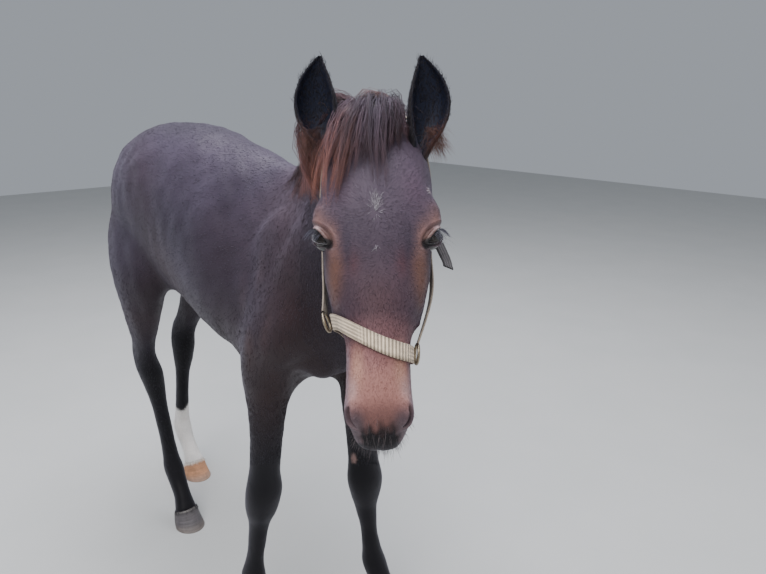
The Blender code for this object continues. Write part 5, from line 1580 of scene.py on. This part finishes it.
def noseband(tree):
    """The strap round the nose and jaw, each edge laid on the highest of the face near it."""
    count = 150
    step = 2 * math.pi / 30
    reaches, angles = [], circle(count)
    for angle in angles:
        row = []
        for edge in (-0.5, 0.5):
            reach = 0
            for nudge in (-0.5, 0, 0.5):
                for inward in (1.0, 0.5):
                    near = angle + nudge * step
                    across = (HEAD_FRAME.to_3x3() @ Vector((0, math.sin(near), math.cos(near)))).normalized()
                    along = band_place(angle) + edge * inward * STRAP_WIDTH
                    centre = HEAD_FRAME @ Vector((along, 0, BAND_AXIS))
                    spot = tree.ray_cast(centre + across * 0.3, -across)[0]
                    reach = max(reach, (spot - centre).length)
            row.append(reach)
        reaches.append(row)
    reaches = np.array(reaches)
    for _ in range(6):
        reaches = (np.roll(reaches, 1, 0) + 2 * reaches + np.roll(reaches, -1, 0)) / 4
    inner, outs, sides = [], [], []
    for angle, (rear, front) in zip(angles, reaches):
        aim = HEAD_TURNED @ np.array((0, math.sin(angle), math.cos(angle)))
        edges = []
        for edge, reach in ((-0.5, rear), (0.5, front)):
            axis = from_head((band_place(angle) + edge * STRAP_WIDTH, 0, BAND_AXIS))
            edges.append(axis + aim * (reach + BAND_CLEARANCE))
        inner.append((edges[0] + edges[1]) / 2)
        outs.append(aim)
        sides.append((edges[1] - edges[0]) / STRAP_WIDTH)
    fancy = np.clip(ramp(np.cos(angles - 0.25), 0.70, 0.90), 0, 1)
    return band_mesh(
        "noseband_webbing", np.array(inner), outs, sides, STRAP_WIDTH, True, NOSEBAND_TINT, fancy
    )


def halter_rings_and_headstall(tree):
    """The rings, the strap that runs between them behind the ears, and the dark loose strap end."""
    rings, halves = [], []
    turn = HEAD_FRAME.to_3x3()
    for side, name in ((1, "left"), (-1, "right")):
        place = HEAD_FRAME @ Vector((band_place(side * math.pi / 2) - 0.004, side, -0.058))
        spot, normal, _, _ = tree.ray_cast(place, (turn @ Vector((0, -side, 0))).normalized())
        long = turn @ Vector((1, 0, 0))
        long = (long - normal * long.dot(normal)).normalized()
        other = normal.cross(long)
        centre = spot + normal * RING_LIFT
        rings.append((name, torus(np.array(centre), np.array(long), np.array(other), np.array(normal), name)))
        begin = centre - long * (RING_RADIUS * 0.9) - normal * STRAP_THICKNESS / 2
        half = [(begin, normal)]
        for along, across, out in between(CHEEK_ROUTE, 6):
            near, face, _, _ = tree.find_nearest(HEAD_FRAME @ Vector((along, side * across, out)))
            if (near - begin).dot(long) < -0.012:
                stand_off = 0.008 * math.exp(-(((along - 0.262) / 0.035) ** 2)) * (side > 0)
                half.append((near + face * (HEADSTALL_CLEARANCE + stand_off), face))
        halves.append(half)
    route = halves[0] + halves[1][-2::-1]
    points, normals = [p for p, _ in route], [n for _, n in route]
    for _ in range(12):
        for i in range(1, len(points) - 1):
            points[i] = (points[i - 1] + points[i] * 2 + points[i + 1]) / 4
            normals[i] = (normals[i - 1] + normals[i] * 2 + normals[i + 1]).normalized()
    sides = []
    for i, point in enumerate(points):
        along = (points[min(i + 1, len(points) - 1)] - points[max(i - 1, 0)]).normalized()
        across = along.cross(normals[i]).normalized()
        lift = 0
        for edge in (-1, 0, 1):
            spot = tree.ray_cast(point + across * edge * 0.0096 + normals[i] * 0.05, -normals[i])[0]
            if spot and 0 < i < len(points) - 1:
                lift = max(lift, (spot - point).dot(normals[i]) + HEADSTALL_CLEARANCE * 0.7)
        points[i] = point + normals[i] * lift
        sides.append(np.array(across))
    inner, outs = np.array(points), [np.array(n) for n in normals]
    width = STRAP_WIDTH * HEADSTALL_SHARE
    plain = np.zeros(len(inner))
    strap = band_mesh("headstall_webbing", inner, outs, sides, width, False, HEADSTALL_TINT, plain)
    spots = from_head(between(STRAP_END, 6))
    runs = unit(np.gradient(spots, axis=0))
    away = unit(np.tile(HEAD_TURNED @ np.array((0.1, 0.55, 0.83)), (len(spots), 1)))
    away = unit(away - runs * (away * runs).sum(axis=1, keepdims=True))
    across = np.cross(runs, away)
    plain = np.zeros(len(spots))
    loose = band_mesh("headstall_loose_end", spots, away, across, width, False, LOOSE_END_TINT, plain)
    return rings, strap, loose


def torus(centre, long, other, normal, name):
    """A worn metal ring."""
    around, sides = 56, 12
    a, b = circle(around), circle(sides)
    outward = np.outer(np.cos(a), long) + np.outer(np.sin(a), other)
    bar = RING_BAR * (1 + 0.03 * np.sin(a * 5))
    points = centre + outward[:, None] * (RING_RADIUS + bar[:, None, None] * np.cos(b)[None, :, None])
    points = points + normal * (bar[:, None, None] * np.sin(b)[None, :, None])
    faces = closed_round(grid_faces(around, sides, True), around, sides)
    return mesh_object("ring_metal_" + name, points.reshape(-1, 3), faces)


def clumped(tree, roots, tips, lift_of, per_clump, root_spread, tip_spread, steps):
    """Paths in clumps over the skin: strands that start apart and come together towards a tip.
    Roots and tips are guesses near the skin, one a clump, and lift_of gives heights along the way."""
    t = np.linspace(0, 1, steps)
    count = len(roots) * per_clump
    start = np.repeat(roots, per_clump, axis=0) + DICE.normal(0, root_spread, (count, 3))
    end = np.repeat(tips, per_clump, axis=0) + DICE.normal(0, tip_spread, (count, 3))
    guess = start[:, None] + (end - start)[:, None] * t[None, :, None]
    high = lift_of(t, np.repeat(np.arange(len(roots)), per_clump))
    flat = laid(tree, guess.reshape(-1, 3), high.ravel())
    return flat.reshape(count, steps, 3)


def forelock(tree):
    """Clumps that rise in a dome between the ears and fall over the forehead, most to the right."""
    clumps, per = ((150, 16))
    steps = 8
    falls = np.array(FORELOCK_FALLS)
    place = DICE.uniform(-1, 1, clumps)
    row = DICE.uniform(0, 1, clumps)
    down = np.interp(place, falls[:, 0], falls[:, 1]) * (0.56 + 0.44 * row) * DICE.uniform(0.62, 1.12, clumps)
    side = np.interp(place, falls[:, 0], falls[:, 2]) + DICE.normal(0, 0.009, clumps)
    roots = from_head(np.c_[0.040 - 0.092 * row, 0.036 * place, 0.030 - 4 * (0.036 * place) ** 2])
    tips = from_head(np.c_[down, side, 0.036 - 4.5 * side**2])
    top = (0.012 + 0.025 * row) * (1 - 0.20 * place**2) * DICE.uniform(0.82, 1.22, clumps)
    flare = DICE.uniform(0.72, 1.16, (clumps * per, 1))

    def lift_of(t, which):
        shape = np.interp(t, (0, 0.14, 0.36, 0.7, 1), (-0.2, 0.72, 1.0, 0.60, 0.22))
        return top[which][:, None] * shape[None] * flare + 0.001

    paths = clumped(tree, roots, tips, lift_of, per, 0.0050, 0.0013, steps)
    t = np.linspace(0, 1, steps)[None]
    bends = DICE.normal(0, 0.0055, (clumps, 1)) * np.sin(t * 3.4 + DICE.uniform(0, 6.3, (clumps, 1)))
    wave = np.repeat(bends, per, axis=0)
    fine = np.sin(t * 6 + DICE.uniform(0, 6.3, (clumps * per, 1)))
    wave = wave + fine * DICE.uniform(0.0006, 0.0026, (clumps * per, 1))
    paths = paths + (wave * np.clip(t * 4, 0, 1))[:, :, None] * (HEAD_TURNED @ np.array((0, 1.0, 0)))
    share = np.repeat(place, per)
    right = ramp(-share, 0.1, 0.9)[:, None]
    tone = np.repeat(DICE.uniform(0.22, 1.55, (clumps, 1)), per, axis=0)
    # Dark hair made grey at the roots, on top of the dome: its own dark colour with a painted sheen.
    tint = shaded(FORELOCK_GREY_SHEEN * tone, 0.6, 1.5, len(paths))
    tip = FORELOCK_BROWN + (FORELOCK_RUST - FORELOCK_BROWN) * right
    tip = shaded(tip * (0.4 + 0.6 * tone), 0.5, 1.3, len(paths))
    uv = np.c_[(share + 1) / 2, np.repeat(row, per)]
    hair = strand_mesh("forelock_hair", paths, DICE.uniform(0.00022, 0.00044, len(paths)), tint, tip, uv, 0.7)
    wisps = 90
    start = paths[DICE.integers(0, len(paths), wisps), 3]
    way = from_head(DICE.normal(0, 1, (wisps, 3)) * (0.5, 1.0, 0.4)) - HEAD_ORIGIN
    way = unit(way + HEAD_TURNED @ np.array((-0.1, 0, 0.45)))
    fall = np.tile(HEAD_TURNED @ np.array((0.6, 0, -0.1)), (wisps, 1))
    loose = curved(start, way, fall, DICE.uniform(0.015, 0.042, wisps), 7)
    dark = shaded((0.045, 0.034, 0.042), 0.5, 1.6, wisps)
    return hair, strand_mesh("forelock_wisps", loose, 0.00017, dark, dark * 2.2)


def star_hair(tree):
    """A narrow streak of white hair on the forehead, a spot of it below and a pale mark over the left eye."""
    paths = []
    for along, across, count, long_way, wide_way in STAR_MARKS:
        x, y = along + DICE.normal(0, long_way, count), across + DICE.normal(0, wide_way, count)
        spots = from_head(np.c_[x, y, np.full(count, 0.035 if abs(across) < 0.05 else 0.012)])
        found = [tree.find_nearest(spot)[:2] for spot in spots]
        start, up = (np.array([row[k] for row in found]) for k in (0, 1))
        way = lie_of_coat(start, up)
        way = turned(way, up, DICE.normal(0, 0.30, count))
        ends = laid(tree, start + way * DICE.uniform(0.005, 0.009, (count, 1)), np.full(count, 0.0010))
        middle = laid(tree, (start + ends) / 2, np.full(count, 0.0014))
        paths.append(np.stack([start, middle, ends], axis=1))
    paths = np.concatenate(paths)
    tint = shaded(WHITE_HAIR, 0.45, 1.15, len(paths))
    return strand_mesh("star_hair", paths, 0.00021, tint, tint)


def crest_line(along):
    """The place of the neck's upper edge, at a distance along the straight trunk."""
    rows = between([(row[0], row[1]) for row in TRUNK if row[0] > 0.05], 6)
    return bend(Vector((along, 0, float(np.interp(along, rows[:, 0], rows[:, 1])))))


def mane(tree):
    """A soft foal's mane: clumps from both sides of the crest, most of them over its right side."""
    clumps, per = ((230, 12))
    steps = 9
    paths, tint, tip, uv = [], [], [], []
    for i in range(clumps):
        share = (i + DICE.uniform()) / clumps
        along = 0.140 + 0.445 * share
        ahead = unit(np.array(bend(Vector((along + 0.01, 0, 1))) - bend(Vector((along, 0, 1)))))
        right = np.cross(ahead, (0, 0, 1.0))
        left_too = DICE.uniform() < 0.20
        sign = -1.0 if left_too else 1.0
        spot = np.array(crest_line(along)) - right * DICE.uniform(-0.008, 0.012)
        point, normal, _, _ = tree.find_nearest(spot)
        heading = right * sign - ahead * DICE.uniform(0.0, 0.45)
        length = DICE.uniform(0.55, 1.08) * (0.085 + 0.120 * share) * (0.50 if left_too else 1)
        top = DICE.uniform(0.011, 0.030) * (0.75 + 0.70 * share)
        route, point, normal = [], np.array(point), np.array(normal)
        for k in range(steps):
            t = k / (steps - 1)
            height = top * float(np.interp(t, (0, 0.2, 0.45, 1), (-0.25, 0.8, 1.0, 0.55)))
            route.append(point + normal * height)
            heading = heading + np.array((0, 0, -0.22)) + ahead * DICE.uniform(-0.12, 0.08)
            heading = unit(heading - normal * (heading @ normal))
            found = tree.find_nearest(point + heading * length / (steps - 1))
            point, normal = np.array(found[0]), np.array(found[1])
        t = np.linspace(0, 1, steps)[None, :, None]
        start = DICE.normal(0, 0.0048, (per, 1, 3))
        end = DICE.normal(0, 0.0032, (per, 1, 3))
        wave = np.sin(t * 7 + DICE.uniform(0, 6.3, (per, 1, 1))) * DICE.normal(0, 0.0012, (per, 1, 3)) * t
        paths.append(np.array(route)[None] + start * (1 - t) + end * t * t + wave)
        shade = DICE.uniform(0.16, 1.65) * min(1.0, 0.15 + 2.2 * float(share))
        tint.append(shaded(MANE_ROOT * shade, 0.6, 1.35, per))
        tip.append(shaded(MANE_TIP * shade, 0.45, 1.25, per))
        uv.append(np.tile((share, 0.2 + 0.6 * DICE.uniform()), (per, 1)))
    paths = np.concatenate(paths)
    radii = DICE.uniform(0.00028, 0.00052, len(paths))
    hair = strand_mesh("mane_hair", paths, radii, np.vstack(tint), np.vstack(tip), np.vstack(uv), 0.8)
    wisps = 120
    start = paths[DICE.integers(int(0.35 * len(paths)), len(paths), wisps), DICE.integers(2, 5, wisps)]
    way = unit(DICE.normal(0, 0.6, (wisps, 3)) + np.array((0.2, -0.5, 0.8)))
    loose = curved(start, way, np.tile((0, -0.3, -0.7), (wisps, 1)), DICE.uniform(0.015, 0.045, wisps), 7)
    gold = shaded((0.30, 0.17, 0.11), 0.4, 1.3, wisps)
    return hair, strand_mesh("mane_wisps", loose, 0.00017, gold, gold * 1.4)


def tail_spot(heights, turns, reaches):
    """Points of the tail's outline, at heights, turns round it and shares of its reach."""
    rows = np.array(TAIL)[::-1]
    x, half_width, half_depth = (np.interp(heights, rows[:, 1], rows[:, k]) for k in (0, 2, 3))
    back = x - np.sin(turns) * half_depth * reaches
    return np.stack([back, np.cos(turns) * half_width * reaches, heights], -1)


def tail():
    """Long wavy hair round a short fleshy dock."""
    clumps, per = ((170, 13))
    steps = 11
    turn = DICE.uniform(0, 2 * math.pi, clumps)
    layer = DICE.uniform(0, 1, clumps) ** 0.6
    begin = 0.98 + 0.20 * layer
    finish = 0.640 + 0.20 * DICE.uniform(0, 1, clumps) ** 1.5
    t = np.linspace(0, 1, steps)[None]
    which = np.repeat(np.arange(clumps), per)
    count = clumps * per
    height = begin[which][:, None] + (finish - begin)[which][:, None] * t
    height = height + DICE.normal(0, 0.006, (count, 1)) * t
    height = np.maximum(height, 0.632)
    sway = DICE.normal(0, 0.25, clumps)[which][:, None] * t + DICE.normal(0, 0.10, (count, 1)) * (1 - 0.5 * t)
    turns = turn[which][:, None] + sway + 0.10 * np.sin(t * 9 + DICE.uniform(0, 6.3, (clumps, 1))[which])
    limit = (0.30 + 0.75 * layer)[which][:, None] * DICE.uniform(0.88, 1.08, (count, 1))
    spread = np.interp(t, (0, 0.18, 1), (0, 1, 1)) * (limit - 0.45) + 0.45
    paths = tail_spot(height, turns, spread)
    uv = np.c_[(turn[which] % FULL_TURN) / FULL_TURN, layer[which]]
    base = shaded((0.016, 0.012, 0.012), 0.6, 1.8, count)
    ends = shaded((0.075, 0.038, 0.028), 0.4, 1.3, count)
    hair = strand_mesh("tail_long_hair", paths, DICE.uniform(0.0004, 0.0009, count), base, ends, uv, 0.7)
    rows = between([(x, z, w * 0.72, d * 0.80) for x, z, w, d in TAIL[:5]], 4)
    sides = 28
    angle = circle(sides)
    points = []
    for i, (x, z, half_width, half_depth) in enumerate(rows):
        after, before = rows[min(i + 1, len(rows) - 1)], rows[max(i - 1, 0)]
        along = unit(np.array((after[0] - before[0], 0, after[1] - before[1])))
        back = np.cross(along, (0, 1.0, 0))
        slim = 1 if i + 1 < len(rows) else 0.2
        middle = np.array((x, 0, z))
        across = np.outer(np.cos(angle) * half_width * slim, (0, 1, 0))
        points.append(middle + across + np.outer(np.sin(angle) * half_depth * slim, back))
    points = np.vstack(points)
    black = np.tile(COAT_BLACK * 1.4, (len(points), 1))
    return hair, mesh_object("tail_dock", points, grid_faces(len(rows), sides, True), black)


def whiskers(tree):
    """Feelers and short beard hair on the lips, chin and round the nostrils."""
    count = 650
    x = 0.495 - 0.062 * DICE.uniform(0, 1, count) ** 1.3
    y = DICE.normal(0, 0.026, count)
    out = DICE.uniform(-0.110, -0.035, count)
    guess = from_head(np.c_[x, y, out])
    starts, ways = [], []
    for point in guess:
        spot, normal, _, _ = tree.find_nearest(point)
        starts.append(spot)
        ways.append(normal)
    starts, ways = np.array(starts), np.array(ways)
    way = unit(ways + (HEAD_TURNED @ np.array((0.55, 0, -0.15))) + DICE.normal(0, 0.25, (count, 3)))
    feeler = DICE.uniform(size=count) < 0.06
    length = np.where(feeler, DICE.uniform(0.014, 0.024, count), DICE.uniform(0.004, 0.010, count))
    pale = DICE.uniform(size=count) < 0.18
    length = np.where(pale, DICE.uniform(0.007, 0.016, count), length)
    fall = np.tile((0, 0, -0.35), (count, 1))
    paths = curved(starts, way, fall, length, 6)
    tint = shaded((0.014, 0.012, 0.013), 0.5, 2.5, count)
    tint = np.where(pale[:, None], np.array((0.14, 0.11, 0.11)), tint)
    return strand_mesh("whiskers", paths, 0.00016, tint, tint * 2.0)


def bare_places(middles, heads, eyes, tree):
    """Where no coat grows: lips, nostrils, the lids' rims, and under the top of each hoof."""
    bare = heads[:, 0] > 0.468
    for side in (1, -1):
        spot, _, long, across = nostril_frame(side, tree)
        away = middles - spot
        bare |= np.hypot((away @ long) / 0.018, (away @ across) / 0.0075) < 1
    for eye in eyes:
        reach, _, above, _ = opening(middles, eye)
        bare |= reach < np.where(above > 0, 1.50, 1.30)
    for _, rows, fetlock, stride, side in leg_table():
        centre, slope = coronet_frame(rows, fetlock, stride, side)
        down = Vector((0, 1, 0)).cross(slope.normalized())
        down = -down if down.z > 0 else down
        away = middles - np.array(centre)
        bare |= (np.linalg.norm(away, axis=1) < 0.09) & (away @ np.array(down) > -0.003)
    return bare


def coat_map(name, places, spots):
    """Where each tuft lies on its piece's map: round the head, round the body or round each leg."""
    if name in ("coat_face", "coat_nose", "coat_cheeks"):
        around = np.arctan2(spots[:, 1], spots[:, 2] + 0.08) / FULL_TURN + 0.5
        return np.c_[around, (spots[:, 0] + 0.03) / 0.54]
    if name in ("coat_neck", "coat_flank_left", "coat_flank_right"):
        around = np.arctan2(places[:, 1], places[:, 2] - 1.02) / FULL_TURN + 0.5
        return np.c_[around, (places[:, 0] + 0.90) / 1.55]
    left = places[:, 1] > 0.0
    centre_y = np.where(left, places[left, 1].mean(), places[~left, 1].mean())
    centre_x = np.where(left, places[left, 0].mean(), places[~left, 0].mean())
    around = np.arctan2(places[:, 1] - centre_y, places[:, 0] - centre_x) / FULL_TURN + 0.5
    return np.c_[around * 0.498 + 0.5 * left, places[:, 2] / 0.74]


def coat_pieces(skin, eyes):
    """The short coat as thin tufts on every side, in pieces by region."""
    mesh = skin.data
    points, normals = vertex_array(mesh), vertex_array(mesh, "normal")
    tri = triangles_of(mesh)
    tree = surface_of(skin)
    middles = points[tri].mean(axis=1)
    heads = to_head(middles)
    head = (heads[:, 0] > -0.02) & (middles[:, 0] > HEAD_WELL_AHEAD)
    front = head & ((heads[:, 2] > -0.070) | (heads[:, 0] > 0.31))
    leg = ~head & (middles[:, 2] < 0.72)
    neck = ~head & ~leg & (middles[:, 0] > 0.26)
    trunk = ~head & ~leg & ~neck
    bare = bare_places(middles, heads, eyes, tree)
    regions = {
        "coat_face": front & (heads[:, 0] < 0.24),
        "coat_nose": front & (heads[:, 0] >= 0.24),
        "coat_cheeks": head & ~front,
        "coat_neck": neck,
        "coat_flank_left": trunk & (middles[:, 1] >= 0),
        "coat_flank_right": trunk & (middles[:, 1] < 0),
        "coat_forelegs": leg & (middles[:, 0] > -0.1),
        "coat_hindlegs": leg & (middles[:, 0] <= -0.1),
    }
    made = []
    for name, (count, length, width, lift) in COAT_TUFTS.items():
        count = count
        places, up = scattered(points, normals, tri, (regions[name] & ~bare).astype(float), count, DICE)
        waver = 0.13 * ripple(places, 0.040, 31) + 0.12 * ripple(places, 0.010, 32)
        ways = turned(lie_of_coat(places, up), up, waver + DICE.normal(0, 0.12, count))
        spots = to_head(places)
        size = np.ones(count)
        if name == "coat_nose":
            size = 1.15 - 0.50 * ramp(spots[:, 0], 0.36, 0.45)
        if name in ("coat_forelegs", "coat_hindlegs"):
            size = 0.75 + 0.45 * ramp(places[:, 2], 0.30, 0.62)
            size += 0.9 * ridge(places[:, 2], 0.150, 0.03) * (up[:, 0] < -0.2)
        for eye in eyes:
            size *= 0.55 + 0.45 * ramp(np.linalg.norm(places - eye[0], axis=1), 0.022, 0.050)
        tint = round_the_eyes(places, markings(places), eyes)
        length_of = length * size * DICE.uniform(0.7, 1.2, count)
        width_of = width * DICE.uniform(0.75, 1.25, count) * (0.7 + 0.3 * size)
        lift_of = lift * DICE.uniform(0.6, 1.5, count)
        uv = coat_map(name, places, spots)
        made.append(tuft_mesh(name, tree, places, up, ways, length_of, width_of, lift_of, tint, uv))
    return made, tree


def coronet_fringe():
    """Fine hair that hangs over the top of each hoof."""
    paths, tint = [], []
    for name, rows, fetlock, stride, side in leg_table():
        centre, slope = coronet_frame(rows, fetlock, stride, side)
        lean = np.array(slope.normalized())
        count = 320
        turn = DICE.uniform(0, 2 * math.pi, count)
        run = np.where(np.cos(turn) > 0, np.cos(turn), np.cos(turn) * 0.94)
        start = np.array(centre) + np.outer(0.0355 * run, lean) + np.outer(0.0345 * np.sin(turn), (0, 1, 0))
        start[:, 2] += DICE.uniform(0.000, 0.007, count)
        way = np.c_[0.5 * np.cos(turn) + 0.35, 0.5 * np.sin(turn), np.full(count, -1.0)]
        way = unit(way + DICE.normal(0, 0.12, (count, 3)))
        fall = np.tile((0, 0, -0.2), (count, 1))
        paths.append(curved(start, way, fall, DICE.uniform(0.008, 0.015, count), 5))
        tint.append(np.tile(SOCK if name == "hind_left" else COAT_BLACK * 1.6, (count, 1)))
    paths, tint = np.concatenate(paths), np.vstack(tint)
    tint = tint * DICE.uniform(0.6, 1.3, (len(tint), 1))
    return strand_mesh("coronet_hair", paths, 0.0003, tint, tint * 1.3)


def stage_and_camera():
    """A pale floor, soft studio light and the photo's camera."""
    material, tree, shader, place = blank("stage", Roughness=0.9)
    tone = two_tones(tree, noise(tree, place, 3.0, 5.0), (0.47, 0.48, 0.47, 1), (0.53, 0.53, 0.52, 1))
    tree.links.new(tone, shader.inputs["Base Color"])
    bumped(tree, shader, noise(tree, place, 160.0), 0.0006, 0.3)
    corners = np.array([(-9, -9, 0), (9, -9, 0), (9, 9, 0), (-9, 9, 0)], float)
    floor = mesh_object("floor", corners, [(0, 1, 2, 3)])
    floor.data.materials.append(material)
    world = bpy.data.worlds.new("studio")
    world.use_nodes = True
    world.node_tree.nodes["Background"].inputs["Color"].default_value = (0.80, 0.86, 0.95, 1)
    world.node_tree.nodes["Background"].inputs["Strength"].default_value = 0.42
    bpy.context.scene.world = world
    for name, spot, size, power, colour in LIGHTS:
        data = bpy.data.lights.new(name, "AREA")
        data.shape = "DISK"
        data.size = size
        data.energy = power
        data.color = colour
        lamp = bpy.data.objects.new(name, data)
        lamp.location = spot
        lamp.rotation_mode = "QUATERNION"
        lamp.rotation_quaternion = (LIT_PLACE - Vector(spot)).to_track_quat("-Z", "Y")
        bpy.context.scene.collection.objects.link(lamp)
    data = bpy.data.cameras.new("camera")
    data.sensor_width = 36
    data.lens = CAMERA_LENS
    data.clip_start = 0.05
    camera = bpy.data.objects.new("camera", data)
    bpy.context.scene.collection.objects.link(camera)
    right, up = CAMERA_RIGHT.normalized(), CAMERA_UP.normalized()
    up = (up - right * up.dot(right)).normalized()
    matrix = Matrix((right, up, right.cross(up))).transposed().to_4x4()
    matrix.translation = CAMERA_PLACE + SHIFT
    camera.matrix_world = matrix
    bpy.context.scene.camera = camera


def main():
    """Builds the stage and every piece, gives each its material and hides the solids that it stands for."""
    stage_and_camera()
    hair = hair_material("long_hair", 0.42, 2600.0)
    coat = hair_material("coat_tufts", 0.60, 1800.0, 0.14)
    skin, eyes, outer = skin_and_eyes()
    tufts, tree = coat_pieces(skin, eyes)
    pieces = []
    for name, eye in zip(("left", "right"), eyes):
        pieces.append((eyeball(eye, name), eye_material(), "eye", "eye_" + name))
        pieces.append((lids(eye, name), lid_material(), "coat"))
    pieces.append((lashes(eyes), hair, "coat"))
    shells = [ear_shell(side, name) for side, name in ((1, "left"), (-1, "right"))]
    ear_coat = hair_material("ear_coat", 0.55, 1500.0)
    for name, (obj, (base, up, _, out), _) in zip(("left", "right"), shells):

        def ear_tint(places):
            away = places - base
            outer_share = ramp(away @ out, 0.005, 0.040) * ramp(-(away @ up), -0.05, -0.005)
            return mixed(np.tile(EAR_DOWN, (len(places), 1)), (0.14, 0.055, 0.040), 0.8 * outer_share)

        count = 3100
        down = shell_tufts("ear_down_" + name, obj, up, count, 0.008, 0.0008, ear_tint)
        pieces.append((down, coat, "ear_skin"))
        pieces.append((obj, ear_coat, "ear_skin", "ear_" + name))
    pieces.append((ear_hair(shells), hair, "ear_skin"))
    horn = horn_material()
    for name, rows, fetlock, stride, side in leg_table():
        slot = "hoof_pale" if name == "hind_left" else "hoof_dark"
        pieces.append((hoof_mesh(name, rows, fetlock, stride, side), horn, slot, "hoof_" + name))
    pieces.append((coronet_fringe(), hair, "coat"))
    webbing = webbing_material()
    pieces.append((noseband(outer), webbing, "webbing", "halter_noseband"))
    rings, strap, loose_end = halter_rings_and_headstall(outer)
    pieces.append((strap, webbing, "webbing", "halter_headstall"))
    pieces.append((loose_end, webbing, "webbing"))
    metal = metal_material()
    for name, obj in rings:
        pieces.append((obj, metal, "ring_metal", "halter_ring_" + name))
    for obj in (*forelock(outer), star_hair(tree)):
        pieces.append((obj, hair, "coat"))
    for obj in mane(outer):
        pieces.append((obj, hair, "coat"))
    long_hair, dock = tail()
    pieces.append((long_hair, hair, "tail_hair", "tail"))
    pieces.append((dock, coat, "tail_hair"))
    pieces.append((whiskers(tree), hair, "coat"))
    for obj in tufts:
        pieces.append((obj, coat, "coat"))
    flesh = ["head", "neck", "torso", *("leg_" + name for name, *_ in leg_table())]
    pieces.append((skin, skin_material(), "coat", *flesh))
    for piece in pieces:
        clothed(*piece)


main()
